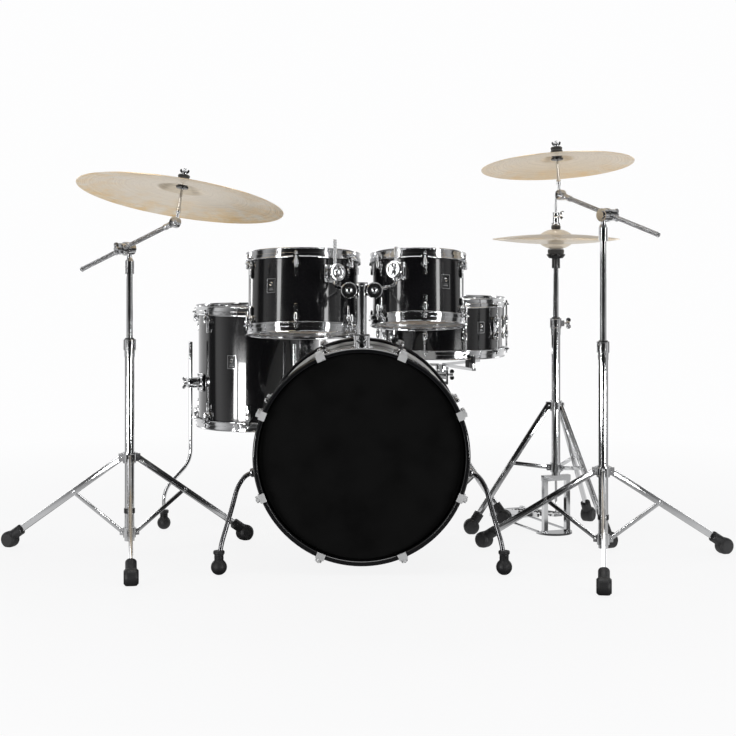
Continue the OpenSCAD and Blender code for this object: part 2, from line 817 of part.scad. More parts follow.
// Tilter's moving half, the cymbal rod, its cup, sleeve and wing nut
module cymbal_post(t, v, n, seat) {
    w = tilter_axis(v, n);
    steel() {
        bar(t - 0.4 * w, t - 9 * w, 28);
        bar(t - 9 * w, t - 15 * w, 13);
        bar(t - 4.7 * w, t - 4.7 * w + 26 * n, 8.2);
        bar(t - 4.7 * w + 25 * n, t - 4.7 * w + 40 * n, 12);
        bar(t - 4.7 * w + 39 * n, t - 4.7 * w + (seat + rod_over) * n, 7.8);
        bar(t - 4.7 * w + (seat - 18) * n, t - 4.7 * w + (seat - 13) * n, 32);
        translate(t - 4.7 * w + (seat + 18) * n) aim(n) {
            difference() {
                union() {
                    cylinder(d = 14, h = 9, $fn = 48);
                    for (s = [-1, 1]) translate([s * 9, 1.8, 6.6]) rotate([90, 0, 0])
                        cylinder(d = 12, h = 3.6, $fn = 32);
                }
                translate([0, 0, -1]) cylinder(d = 7.9, h = 20, $fn = 32);
            }
        }
    }
}

// Cymbal profile: r is its radius, p the height of the bell's top above the edge
module cymbal_shape(r, p, bell_r, bell_h, t) {
    flat = 9;
    bow = p - bell_h;
    steps = 14;
    top = concat(
        [for (i = [0 : steps]) let (k = i / steps, x = bell_r + (r - bell_r) * k)
            [x, bow * (1 - pow(k, 1.55))]]);
    bell = [for (i = [0 : 8]) let (k = i / 8, x = flat + (bell_r - flat) * k)
        [x, bow + bell_h * pow(cos(90 * k), 0.85)]];
    outer = concat([[6.5, p]], bell, [for (i = [1 : steps]) top[i]]);
    inner = [for (i = [len(outer) - 1 : -1 : 0]) [outer[i].x, outer[i].y - t]];
    rotate_extrude($fn = 160) polygon(concat(outer, inner));
}

// Cymbal with the two felts that grip its bell, seated on the rod's axis
module seated_cymbal(t, v, n, seat, r, p, bell_r, bell_h) {
    w = tilter_axis(v, n);
    translate(t - 4.7 * w + seat * n) aim(n) {
        bronze() translate([0, 0, -p]) cymbal_shape(r, p, bell_r, bell_h, cymbal_t);
        rubber() {
            translate([0, 0, -cymbal_t - 9.1]) ring(14, 6.2, 9);
            translate([0, 0, 0.1]) ring(16, 6.2, 17);
        }
    }
}

left_tilter = tilter_at(left_stand_at, left_clamp_z, left_boom_v, left_boom_reach);
right_tilter = tilter_at(right_stand_at, right_clamp_z, right_boom_v, right_boom_reach);

module left_mast() { steel() kit() mast(left_stand_at, left_clamp_z, left_boom_v); }

module right_mast() { steel() kit() mast(right_stand_at, right_clamp_z, right_boom_v); }

module left_boom_clamp() {
    steel() kit() boom_clamp(left_stand_at, left_clamp_z, left_boom_v);
}

module right_boom_clamp() {
    steel() kit() boom_clamp(right_stand_at, right_clamp_z, right_boom_v);
}

module left_boom_arm() {
    steel() kit() boom_arm(left_tilter, left_boom_v, left_rod_v);
}

module right_boom_arm() {
    steel() kit() boom_arm(right_tilter, right_boom_v, right_rod_v);
}

module left_cymbal_post() {
    kit() cymbal_post(left_tilter, left_boom_v, left_rod_v, ride_seat);
}

module right_cymbal_post() {
    kit() cymbal_post(right_tilter, right_boom_v, right_rod_v, crash_seat);
}

module ride_cymbal() {
    kit() seated_cymbal(left_tilter, left_boom_v, left_rod_v, ride_seat, ride_d / 2, 46, 62, 20);
}

module crash_cymbal() {
    kit() seated_cymbal(right_tilter, right_boom_v, right_rod_v, crash_seat, crash_d / 2, 34,
        46, 14);
}

// ---------- hi-hat ----------

hat_p = 26;
hat_bell_r = 44;
hat_bell_h = 14;
hat_frame_z = 150;
hat_post = 35;
hat_heel = 285;
hat_heel_z = 22;
pull_d = 7;
hat_heel_at = hihat_at + hat_heel * hat_rear + [0, 0, hat_heel_z];
toe_z = 50;

module hihat_stand_tube() {
    steel() kit() {
        translate(hihat_at) stand_tube(hat_hub_z, hat_low_z, hat_joint_z, hat_mast_d, hihat_turn);
        translate(hihat_at) rotate([0, 0, atan2(hat_rear.y, hat_rear.x) - 90]) {
            difference() {
                union() {
                    translate([-hat_post - 7, -9, hat_frame_z]) cube([2 * hat_post + 14, 18, 15.2]);
                    for (s = [-1, 1]) translate([s * hat_post - 6, -8, 5])
                        cube([12, 16, hat_frame_z]);
                }
                translate([0, 0, hat_frame_z - 5]) cylinder(d = hat_mast_d + 1.6, h = 40, $fn = 64);
            }
            intersection() {
                translate([0, 14, 0]) cylinder(d = 104, h = 6, $fn = 96);
                translate([-52, -40, 0]) cube([104, 60, 6]);
            }
            for (s = [-1, 1]) bar([s * (hat_post + 11), 18, 5], [s * (hat_post + 11), hat_heel - 14, 5], 7);
            translate([-49, hat_heel - 20, 0]) cube([98, 64, 9]);
            for (s = [-1, 1]) difference() {
                translate([s * 38 - 5, hat_heel - 9, 8.9]) cube([10, 18, 22]);
                translate([-60, hat_heel, hat_heel_z]) rotate([0, 90, 0])
                    cylinder(d = 6.2, h = 120, $fn = 32);
            }
        }
    }
}

module hihat_footboard() {
    steel() kit() translate(hat_heel_at)
        rotate([0, 0, atan2(hat_rear.y, hat_rear.x) - 90]) {
        rotate([0, 90, 0]) translate([0, 0, -44]) cylinder(d = 6, h = 88, $fn = 32);
        rotate([0, 90, 0]) translate([0, 0, -32.5]) cylinder(d = 13, h = 65, $fn = 32);
        rotate([-atan((toe_z - hat_heel_z) / hat_heel), 0, 0]) difference() {
            union() {
                translate([-32, -250, -1]) cube([64, 252, 6]);
                for (s = [-1, 1]) translate([s * 32 - 3, -240, -5]) cube([6, 225, 12]);
                translate([-13, -300, -1]) cube([26, 54, 6]);
            }
            for (i = [0 : 5]) translate([0, -70 - i * 30, -10]) cylinder(d = 12, h = 30, $fn = 32);
            translate([-6, -296, -10]) cube([12, 20, 30]);
        }
    }
}

module hihat_mast() {
    steel() kit() translate(hihat_at) difference() {
        union() {
            translate([0, 0, hat_joint_z - 160])
                cylinder(d = hat_mast_d, h = hat_z + 105 - hat_joint_z, $fn = 64);
            translate([0, 0, hat_z - 79]) cylinder(d = 23, h = 26, $fn = 64);
            translate([0, 0, hat_z - 54]) cylinder(d1 = 40, d2 = 52, h = 8, $fn = 64);
            translate([0, 0, hat_z - 46]) cylinder(d = 52, h = 4, $fn = 64);
            translate([0, 0, hat_z - 42]) cylinder(d = 46, h = 42 - hat_p - cymbal_t - 0.2 - gap, $fn = 64);
        }
        cylinder(d = pull_d + 2, h = 1200, $fn = 48);
    }
}

module hihat_lower_cymbal() {
    bronze() kit() translate(hihat_at + [0, 0, hat_z - cymbal_t - 0.2]) mirror([0, 0, 1])
        cymbal_shape(hat_d / 2, hat_p, hat_bell_r, hat_bell_h, cymbal_t);
}

module hihat_upper_cymbal() {
    bronze() kit() translate(hihat_at + [0, 0, hat_z + cymbal_t + 0.2])
        cymbal_shape(hat_d / 2, hat_p, hat_bell_r, hat_bell_h, cymbal_t);
}

// Pull rod with its clutch, felts and the link to the footboard
module hihat_pull_rod() {
    top = hat_z + cymbal_t + 0.2 + hat_p;
    steel() kit() translate(hihat_at) {
        translate([0, 0, 92]) cylinder(d = pull_d, h = 853, $fn = 32);
        translate([0, 0, top + 18]) cylinder(d = 19, h = 30, $fn = 48);
        translate([0, 0, top + 12.2]) cylinder(d = 26, h = 6, $fn = 48);
        translate([0, 0, top - 16]) cylinder(d = 17, h = 5, $fn = 48);
        translate([9, 0, top + 40]) rotate([0, 90, 0]) wing_screw(6, 13);
        translate([-2, -1.5, toe_z + 8]) cube([4, 3, 36]);
    }
    rubber() kit() translate(hihat_at) {
        translate([0, 0, top + 0.2]) ring(13, 3.6, 11.8);
        translate([0, 0, top - 10.8]) ring(13, 3.6, 9);
    }
}

// ---------- snare drum and its stand ----------

snare_lugs_n = 10;
snare_lug_turn = 0;
snare_pivot_z = 430;
arm_turns = [294, 54, 174];
prong_r = snare_d / 2 + 18.5;
strainer_a = 18;

module snare_frame() { kit() translate(snare_at) children(); }

module snare_stand_tube() {
    steel() kit() translate(snare_stand_at) {
        stand_tube(snare_hub_z, snare_low_z, snare_joint_z, snare_mast_d, snare_stand_turn);
        translate([0, 0, snare_joint_z - 150])
            cylinder(d = snare_mast_d, h = 204, $fn = 64);
        difference() {
            translate([-17, -12, snare_joint_z + 50]) cube([34, 24, 42]);
            translate([-11.7, -20, snare_joint_z + 58]) cube([23.4, 40, 60]);
            translate([-30, 0, snare_pivot_z]) rotate([0, 90, 0])
                cylinder(d = 8.1, h = 60, $fn = 32);
        }
    }
}

module snare_basket() {
    steel() kit() translate(snare_stand_at) {
        translate([-22, 0, snare_pivot_z]) rotate([0, 90, 0]) cylinder(d = 8, h = 44, $fn = 32);
        translate([-11.4, 0, snare_pivot_z]) rotate([0, 90, 0]) cylinder(d = 26, h = 22.8, $fn = 48);
        translate([22, 0, snare_pivot_z]) rotate([0, 90, 0]) wing_screw(3, 13);
        translate([0, 0, snare_pivot_z + 5]) cylinder(d = 16, h = 25, $fn = 48);
        translate([0, 0, snare_pivot_z + 16]) cylinder(d = 40, h = 14, $fn = 64);
        for (a = arm_turns) rotate([0, 0, a]) {
            translate([10, -6, snare_pivot_z + 26]) cube([prong_r - 4, 12, 7]);
            translate([prong_r, 0, snare_pivot_z + 30]) cylinder(d = 8, h = 32, $fn = 32);
        }
    }
    rubber() kit() translate(snare_stand_at) for (a = arm_turns) {
        translate(flat_dir(a) * prong_r + [0, 0, snare_pivot_z + 46]) difference() {
            cylinder(d = 12, h = 24, $fn = 32);
            translate([0, 0, -1]) cylinder(d = 8.2, h = 18, $fn = 32);
        }
        rotate([0, 0, a]) translate([prong_r - 36, -6, snare_pivot_z + 33.2])
            cube([29, 12, snare_z - snare_depth / 2 - hoop_rise - snare_pivot_z - 33.5]);
    }
}

module snare_shell() { black_gloss() snare_frame() shell(snare_d, snare_depth, shell_wall); }

module snare_hoops() {
    steel() snare_frame() hoop_pair(snare_d, snare_depth, snare_lugs_n, snare_lug_turn);
}

module snare_heads() {
    film([0.88, 0.88, 0.86]) snare_frame() head_pair(snare_d, snare_depth);
}

module snare_lugs() {
    r = snare_d / 2;
    steel() snare_frame() for (i = [0 : snare_lugs_n - 1])
        rotate([0, 0, snare_lug_turn + i * 360 / snare_lugs_n]) {
            translate([r + 0.4, -6, -26]) cube([5, 12, 52]);
            translate([r + 3, -3, -20]) cube([rod_out - 4, 6, 40]);
            translate([r + rod_out, 0, -30]) cylinder(d = 11, h = 60, $fn = 32);
            for (s = [0, 1]) mirror([0, 0, s]) translate([0, 0, snare_depth / 2])
                tension_rod(r, -8.8, 50);
        }
}

// Throw-off, butt plate and the band of snare wires
module snare_strainer() {
    r = snare_d / 2;
    steel() snare_frame() {
        rotate([0, 0, strainer_a]) {
            translate([r + 0.6, -14, -44]) cube([5, 28, 76]);
            translate([r + 5, -10, -40]) cube([12, 20, 44]);
            for (s = [-1, 1]) difference() {
                translate([r + 5, s * 9 - 1.5, 2]) cube([17, 3, 22]);
                translate([r + 15, -20, 14]) rotate([-90, 0, 0]) cylinder(d = 4.2, h = 40, $fn = 32);
            }
        }
        rotate([0, 0, strainer_a + 180]) {
            translate([r + 0.6, -14, -44]) cube([5, 28, 40]);
            translate([r + 5, -10, -40]) cube([9, 20, 26]);
        }
        rotate([0, 0, strainer_a]) translate([0, 0, -snare_depth / 2 - 2.6]) {
            for (i = [-9 : 9]) translate([-140, i * 2.2, 0]) rotate([0, 90, 0])
                cylinder(d = 1.8, h = 280, $fn = 16);
            for (s = [-1, 1]) translate([s * 145 - 7, -22, -1.3]) cube([14, 44, 1.8]);
        }
    }
}

module throw_off_lever() {
    r = snare_d / 2;
    steel() snare_frame() rotate([0, 0, strainer_a]) {
        translate([r + 15, -12.5, 14]) rotate([-90, 0, 0]) cylinder(d = 4, h = 25, $fn = 32);
        translate([r + 15, -6.5, 14]) rotate([-90, 0, 0]) cylinder(d = 12, h = 13, $fn = 32);
        translate([r + 12, -6.5, 14]) cube([6, 13, 44]);
        translate([r + 15, -9, 58]) rotate([-90, 0, 0]) cylinder(d = 11, h = 18, $fn = 32);
    }
}

// ---------- bass drum pedal ----------

pedal_post_y = 520;
axle_z = 225;
axle_d = 10;
pedal_post_x = 37;
pedal_heel_y = 735;
pedal_heel_z = 20;
pedal_len = 292;
pedal_rest = 25;
beater_len = 195;
beater_rest = 35;
cam_r = 40;
hoop_low_z = bass_z - bass_hoop_out;
hoop_inner_z = bass_z - bass_hoop_in;
batter_hoop_y = bass_edge_y * 2 + bass_depth;

module pedal_frame() {
    steel() kit() translate([bass_x, 0, 0]) {
        translate([-42, pedal_post_y - 40, 0]) cube([84, pedal_heel_y - pedal_post_y + 75, 4]);
        translate([-18, batter_hoop_y - 22, 4.5]) cube([36, 50, hoop_low_z - 4.5 - gap - 0.4]);
        translate([-18, batter_hoop_y + 0.6, 0]) cube([36, 45, 20]);
        translate([-14, batter_hoop_y + 0.6, 12]) cube([28, 12, 42]);
        translate([-12, batter_hoop_y - 20, hoop_inner_z + 1.2]) cube([24, 24, 8]);
        translate([0, batter_hoop_y + 6.6, 53]) wing_screw(8, 14);
        for (s = [-1, 1]) difference() {
            union() {
                translate([s * pedal_post_x - 6, pedal_post_y - 10, 3]) cube([12, 20, axle_z - 3]);
                translate([s * pedal_post_x - 7, pedal_post_y, axle_z]) rotate([0, 90, 0])
                    cylinder(d = 26, h = 14, $fn = 64);
            }
            translate([-60, pedal_post_y, axle_z]) rotate([0, 90, 0])
                cylinder(r = axle_d / 2 + fit, h = 120, $fn = 48);
        }
        for (s = [-1, 1]) difference() {
            translate([s * 36 - 4, pedal_heel_y - 10, 3.9]) cube([8, 20, 26]);
            translate([-60, pedal_heel_y, pedal_heel_z]) rotate([0, 90, 0])
                cylinder(d = 6.2, h = 120, $fn = 32);
        }
        translate([52, pedal_post_y, 60]) cylinder(d = 13, h = 100, $fn = 32);
        translate([52, pedal_post_y, 40]) cylinder(d = 5, h = 22, $fn = 24);
        translate([36, pedal_post_y - 5, 42]) cube([20, 10, 8]);
    }
}

module pedal_footboard() {
    steel() kit() translate([bass_x, pedal_heel_y, pedal_heel_z]) {
        translate([-41, 0, 0]) rotate([0, 90, 0]) cylinder(d = 6, h = 82, $fn = 32);
        translate([-29.5, 0, 0]) rotate([0, 90, 0]) cylinder(d = 13, h = 59, $fn = 32);
        rotate([-pedal_rest, 0, 0]) difference() {
            union() {
                translate([-31, -170, -1]) cube([62, 172, 6]);
                translate([-24, -pedal_len + 22, -0.8]) cube([48, 110, 5.6]);
                for (s = [-1, 1]) translate([s * 29 - 2.8, -165, -4]) cube([5.6, 150, 12]);
                translate([-11, -pedal_len, -2]) cube([22, 30, 8]);
            }
            for (i = [0 : 5]) translate([0, -60 - i * 27, -10]) cylinder(d = 12, h = 30, $fn = 32);
        }
    }
}

// Axle with cam, rocker, beater shaft and felt beater
module pedal_beater() {
    v = [0, sin(beater_rest), cos(beater_rest)];
    n = [0, -cos(beater_rest), sin(beater_rest)];
    steel() kit() translate([bass_x, pedal_post_y, axle_z]) {
        translate([-46, 0, 0]) rotate([0, 90, 0]) cylinder(d = axle_d, h = 100, $fn = 48);
        translate([-8, 0, 0]) rotate([0, 90, 0]) cylinder(r = cam_r, h = 16, $fn = 96);
        translate([-22, 0, 0]) rotate([0, 90, 0]) cylinder(d = 26, h = 12, $fn = 48);
        bar(-16 * v + [-16, 0, 0], beater_len * v + [-16, 0, 0], 8);
        translate([45, -5, -6]) cube([9, 24, 12]);
    }
    color([0.9, 0.89, 0.85]) kit() translate([bass_x - 16, pedal_post_y, axle_z])
        bar(beater_len * v - 22 * n, beater_len * v + 24 * n, 50);
}

// Chain that runs down from the front of the cam to the footboard's toe
module pedal_chain() {
    toe = pedal_heel_z + pedal_len * sin(pedal_rest);
    y = pedal_post_y - cam_r - 4.2;
    steel() kit() translate([bass_x, y, 0]) {
        for (s = [-1, 1]) translate([s * 4 - 1, -2.6, toe + 10])
            cube([2, 5.2, axle_z + cam_r - toe - 12]);
        for (i = [0 : 8]) translate([-4, 0, toe + 15 + i * 11]) rotate([0, 90, 0])
            cylinder(d = 5, h = 8, $fn = 24);
    }
}

// ---------- the kit ----------

bass_shell();
bass_hoops();
bass_front_head();
bass_batter_head();
bass_lugs();
bass_claws();
bass_brackets();
floor_tom_shell();
floor_tom_hoops();
floor_tom_heads();
floor_tom_hardware();
cymbal_stand_tubes();
hihat_stand_tube();
snare_stand_tube();
stand_legs();
stand_feet();
pedal_frame();
left_spur();
right_spur();
floor_tom_leg_left();
floor_tom_leg_front();
floor_tom_leg_rear();
tom_post();
left_tom_arm();
right_tom_arm();
left_tom_shell();
left_tom_hoops();
left_tom_heads();
left_tom_lugs();
left_tom_bracket();
right_tom_shell();
right_tom_hoops();
right_tom_heads();
right_tom_lugs();
right_tom_bracket();
left_mast();
left_boom_clamp();
left_boom_arm();
left_cymbal_post();
ride_cymbal();
right_mast();
right_boom_clamp();
right_boom_arm();
right_cymbal_post();
crash_cymbal();
hihat_mast();
hihat_lower_cymbal();
hihat_pull_rod();
hihat_upper_cymbal();
hihat_footboard();
snare_basket();
snare_shell();
snare_hoops();
snare_heads();
snare_lugs();
snare_strainer();
throw_off_lever();
pedal_footboard();
pedal_beater();
pedal_chain();
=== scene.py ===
"""Studio scene of a black acoustic drum kit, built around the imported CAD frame."""

import json
import math

import bmesh
import bpy
from mathutils import Matrix, Vector


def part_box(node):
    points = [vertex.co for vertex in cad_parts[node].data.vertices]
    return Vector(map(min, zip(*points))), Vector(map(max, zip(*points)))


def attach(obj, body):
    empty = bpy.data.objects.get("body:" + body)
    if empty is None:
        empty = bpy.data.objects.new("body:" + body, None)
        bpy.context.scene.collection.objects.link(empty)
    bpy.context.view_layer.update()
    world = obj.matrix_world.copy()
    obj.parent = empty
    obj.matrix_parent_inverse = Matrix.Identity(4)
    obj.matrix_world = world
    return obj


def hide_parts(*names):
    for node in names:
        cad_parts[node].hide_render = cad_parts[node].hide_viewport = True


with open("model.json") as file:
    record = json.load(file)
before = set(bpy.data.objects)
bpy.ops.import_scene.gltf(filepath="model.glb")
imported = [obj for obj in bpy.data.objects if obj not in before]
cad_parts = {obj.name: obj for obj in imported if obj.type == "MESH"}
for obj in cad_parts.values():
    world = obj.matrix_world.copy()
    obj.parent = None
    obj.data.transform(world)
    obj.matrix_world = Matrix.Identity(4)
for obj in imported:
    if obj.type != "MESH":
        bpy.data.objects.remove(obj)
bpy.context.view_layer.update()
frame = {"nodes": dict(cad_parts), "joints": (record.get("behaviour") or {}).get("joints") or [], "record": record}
NODES = frame["nodes"]
MM = 0.001
UP = Vector((0, 0, 1))


# ---------- places, all read from the frame ----------


def box(node):
    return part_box(node)


def middle(node):
    lo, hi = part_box(node)
    return (lo + hi) / 2


def joint(name):
    return next(j for j in frame["joints"] if j["name"] == name)


# ---------- camera ----------

CAMERA_BACK = 3.99
CAMERA_HEIGHT = 0.83
CAMERA_SIDE = 0.016
LENS = 79.0
SENSOR = 36.0
SHIFT_Y = -0.175

hoop_lo, _ = box("bass_hoops")
bass_axis = middle("bass_hoops")
cam_data = bpy.data.cameras.new("camera")
cam = bpy.data.objects.new("camera", cam_data)
bpy.context.scene.collection.objects.link(cam)
cam_data.lens = LENS
cam_data.sensor_width = SENSOR
cam_data.shift_y = SHIFT_Y
cam.location = (bass_axis.x + CAMERA_SIDE, hoop_lo.y - CAMERA_BACK, CAMERA_HEIGHT)
cam.rotation_euler = (math.pi / 2, 0, 0)
bpy.context.scene.camera = cam

# ---------- light and floor ----------

WHITE_SKY = 1.0
FLOOR_GLOW = 0.89
FLOOR_REFLECTED = 0.85
TONES = ((0.10, 0.03), (0.22, 0.25), (0.40, 0.75), (0.47, 0.70), (0.51, 0.05), (0.62, 0.05), (0.68, 0.8))


def studio_tones(nt, across):
    """Grey of the studio by how far back a direction points: dark behind the camera, white walls
    at the sides with a black flag in each, and a bright end."""
    turn = nt.nodes.new("ShaderNodeMapRange")
    turn.inputs["From Min"].default_value = -1.0
    ramp = nt.nodes.new("ShaderNodeValToRGB")
    stops = ramp.color_ramp.elements
    stops[0].position, stops[0].color = 0.0, (0.015, 0.015, 0.0155, 1)
    stops[1].position, stops[1].color = 1.0, (0.95, 0.95, 0.96, 1)
    for at, grey in TONES:
        ramp.color_ramp.elements.new(at).color = (grey, grey, grey, 1)
    nt.links.new(across, turn.inputs["Value"])
    nt.links.new(turn.outputs[0], ramp.inputs[0])
    return ramp.outputs[0]


def link_world():
    """Pale backdrop for the camera, and a darker studio with bright sides for reflections."""
    world = bpy.data.worlds.new("studio")
    bpy.context.scene.world = world
    world.use_nodes = True
    nt = world.node_tree
    nt.nodes.clear()
    out = nt.nodes.new("ShaderNodeOutputWorld")
    mix = nt.nodes.new("ShaderNodeMixShader")
    path = nt.nodes.new("ShaderNodeLightPath")
    seen = nt.nodes.new("ShaderNodeBackground")
    seen.inputs["Color"].default_value = (0.985, 0.985, 0.988, 1)
    seen.inputs["Strength"].default_value = WHITE_SKY
    lit = nt.nodes.new("ShaderNodeBackground")
    lit.inputs["Strength"].default_value = 0.5
    where = nt.nodes.new("ShaderNodeTexCoord")
    split = nt.nodes.new("ShaderNodeSeparateXYZ")
    nt.links.new(where.outputs["Generated"], split.inputs[0])
    nt.links.new(studio_tones(nt, split.outputs["Y"]), lit.inputs["Color"])
    nt.links.new(path.outputs["Is Camera Ray"], mix.inputs[0])
    nt.links.new(lit.outputs[0], mix.inputs[1])
    nt.links.new(seen.outputs[0], mix.inputs[2])
    nt.links.new(mix.outputs[0], out.inputs[0])


def softbox(name, at, aim, width, height, power):
    """Area light at a place, facing a point."""
    data = bpy.data.lights.new(name, "AREA")
    data.shape = "RECTANGLE"
    data.size, data.size_y = width, height
    data.energy = power
    obj = bpy.data.objects.new(name, data)
    bpy.context.scene.collection.objects.link(obj)
    obj.location = at
    obj.rotation_euler = (Vector(aim) - Vector(at)).to_track_quat("-Z", "Y").to_euler()
    return obj


bpy.context.scene.view_settings.view_transform = "Standard"
link_world()
kit_mid = (0, 0, 0.55)
softbox("key_left", (-3.2, -2.6, 1.9), kit_mid, 0.6, 2.4, 26)
softbox("key_right", (3.2, -2.6, 1.9), kit_mid, 0.6, 2.4, 26)
softbox("top", (0, -0.4, 3.6), kit_mid, 2.6, 1.6, 42)
softbox("low_left", (-1.9, -2.2, 0.12), (-0.75, 0, 1.1), 1.2, 0.3, 26)
softbox("low_right", (1.9, -2.2, 0.12), (0.75, 0, 1.1), 1.2, 0.3, 26)
softbox("back_left", (-3.0, 2.8, 1.6), kit_mid, 0.6, 2.0, 16)
softbox("back_right", (3.0, 2.8, 1.6), kit_mid, 0.6, 2.0, 16)


# ---------- materials ----------


class Shade:
    """A Principled material with helpers for its procedural inputs."""

    def __init__(self, name, base, rough, metal=0.0, coat=0.0, coat_rough=0.03):
        self.mat = bpy.data.materials.new(name)
        self.mat.use_nodes = True
        self.nt = self.mat.node_tree
        self.bsdf = self.nt.nodes["Principled BSDF"]
        self.bsdf.inputs["Base Color"].default_value = (*base, 1)
        self.bsdf.inputs["Roughness"].default_value = rough
        self.bsdf.inputs["Metallic"].default_value = metal
        self.bsdf.inputs["Coat Weight"].default_value = coat
        self.bsdf.inputs["Coat Roughness"].default_value = coat_rough
        self.coords = self.nt.nodes.new("ShaderNodeTexCoord").outputs["Object"]

    def node(self, kind, **values):
        made = self.nt.nodes.new(kind)
        for key, value in values.items():
            if key in made.inputs:
                made.inputs[key].default_value = value
            else:
                setattr(made, key, value)
        return made

    def link(self, a, b):
        self.nt.links.new(a, b)

    def maths(self, operation, *values):
        made = self.node("ShaderNodeMath", operation=operation)
        for socket, value in zip(made.inputs, values):
            if isinstance(value, float):
                socket.default_value = value
            else:
                self.link(value, socket)
        return made.outputs[0]

    def stretched(self, scale):
        place = self.node("ShaderNodeMapping", Scale=scale)
        self.link(self.coords, place.inputs["Vector"])
        return place.outputs[0]

    def noise(self, scale, detail=4.0, at=None, rough=0.55):
        made = self.node("ShaderNodeTexNoise", Scale=scale, Detail=detail, Roughness=rough)
        self.link(at or self.coords, made.inputs["Vector"])
        return made.outputs["Fac"]

    def spread(self, source, low, high, start=0.3, end=0.7):
        made = self.node("ShaderNodeMapRange")
        for key, value in zip(("From Min", "From Max", "To Min", "To Max"), (start, end, low, high)):
            made.inputs[key].default_value = value
        self.link(source, made.inputs["Value"])
        return made.outputs[0]

    def rough_by(self, source, low, high):
        self.link(self.spread(source, low, high), self.bsdf.inputs["Roughness"])

    def colour_by(self, source, *stops):
        ramp = self.node("ShaderNodeValToRGB")
        cells = ramp.color_ramp.elements
        for cell, (at, colour) in zip(cells, (stops[0], stops[-1])):
            cell.position, cell.color = at, (*colour, 1)
        for at, colour in stops[1:-1]:
            cells.new(at).color = (*colour, 1)
        self.link(source, ramp.inputs[0])
        self.link(ramp.outputs[0], self.bsdf.inputs["Base Color"])
        return ramp.outputs[0]

    def shaded(self, scale, base, least):
        """Base colour that drifts a little darker in patches."""
        self.colour_by(self.noise(scale, 3), (0.3, tuple(c * least for c in base)), (0.7, base))

    def bump_by(self, source, strength, distance):
        made = self.node("ShaderNodeBump", Strength=strength, Distance=distance)
        self.link(source, made.inputs["Height"])
        before = self.bsdf.inputs["Normal"].links
        if before:
            self.link(before[0].from_socket, made.inputs["Normal"])
        self.link(made.outputs[0], self.bsdf.inputs["Normal"])


def black_lacquer():
    s = Shade("black_lacquer", (0.005, 0.005, 0.006), 0.12, coat=1.0, coat_rough=0.02)
    s.rough_by(s.noise(9, 3), 0.08, 0.2)
    s.colour_by(s.noise(900, 2), (0.35, (0.004, 0.004, 0.005)), (0.75, (0.012, 0.012, 0.013)))
    s.bump_by(s.noise(22, 2), 0.05, 0.0006)
    return s.mat


def chrome(name="chrome", base=(0.80, 0.805, 0.815), low=0.05, high=0.13):
    s = Shade(name, base, 0.08, metal=1.0)
    s.shaded(8, base, 0.94)
    s.rough_by(s.noise(14, 5), low, high)
    s.bump_by(s.noise(60, 3), 0.03, 0.0003)
    return s.mat


def brushed_steel():
    s = Shade("brushed_steel", (0.62, 0.625, 0.63), 0.3, metal=1.0)
    grain = s.noise(60, 6, at=s.stretched((1, 14, 1)))
    s.shaded(20, (0.64, 0.645, 0.65), 0.86)
    s.rough_by(grain, 0.22, 0.4)
    s.bump_by(grain, 0.12, 0.0004)
    return s.mat


def knurled_chrome():
    """Diamond knurling about the local Z axis, with painted shade in its grooves."""
    s = Shade("knurled_chrome", (0.60, 0.605, 0.615), 0.22, metal=1.0)
    split = s.node("ShaderNodeSeparateXYZ")
    s.link(s.coords, split.inputs[0])
    around = s.maths("MULTIPLY", s.maths("ARCTAN2", split.outputs["Y"], split.outputs["X"]), 14.0)
    waves = [s.maths("SINE", s.maths("MULTIPLY_ADD", split.outputs["Z"], lean, around))
             for lean in (1500.0, -1500.0)]
    low = s.maths("MINIMUM", *waves)
    s.bump_by(low, 0.7, 0.0006)
    # Base colour darker in the knurl's grooves than on its ridges: painted shade.
    s.colour_by(s.spread(low, 0.0, 1.0, -1.0, 0.6), (0.0, (0.22, 0.22, 0.225)), (0.7, (0.66, 0.665, 0.675)))
    s.rough_by(s.noise(30, 3), 0.16, 0.3)
    return s.mat


def head_film(name, base, see_through, rough):
    s = Shade(name, base, rough)
    s.bsdf.inputs["Alpha"].default_value = 1 - see_through
    s.rough_by(s.noise(14, 5), rough * 0.8, rough * 1.25)
    s.shaded(5, base, 0.9)
    s.bump_by(s.noise(700, 3), 0.1, 0.0002)
    return s.mat


def birch():
    s = Shade("birch", (0.62, 0.44, 0.27), 0.45, coat=0.2, coat_rough=0.3)
    grain = s.noise(10, 8, at=s.stretched((1, 1, 12)), rough=0.65)
    s.colour_by(grain, (0.3, (0.50, 0.34, 0.19)), (0.5, (0.66, 0.48, 0.29)), (0.72, (0.74, 0.57, 0.38)))
    s.bump_by(grain, 0.1, 0.0004)
    return s.mat


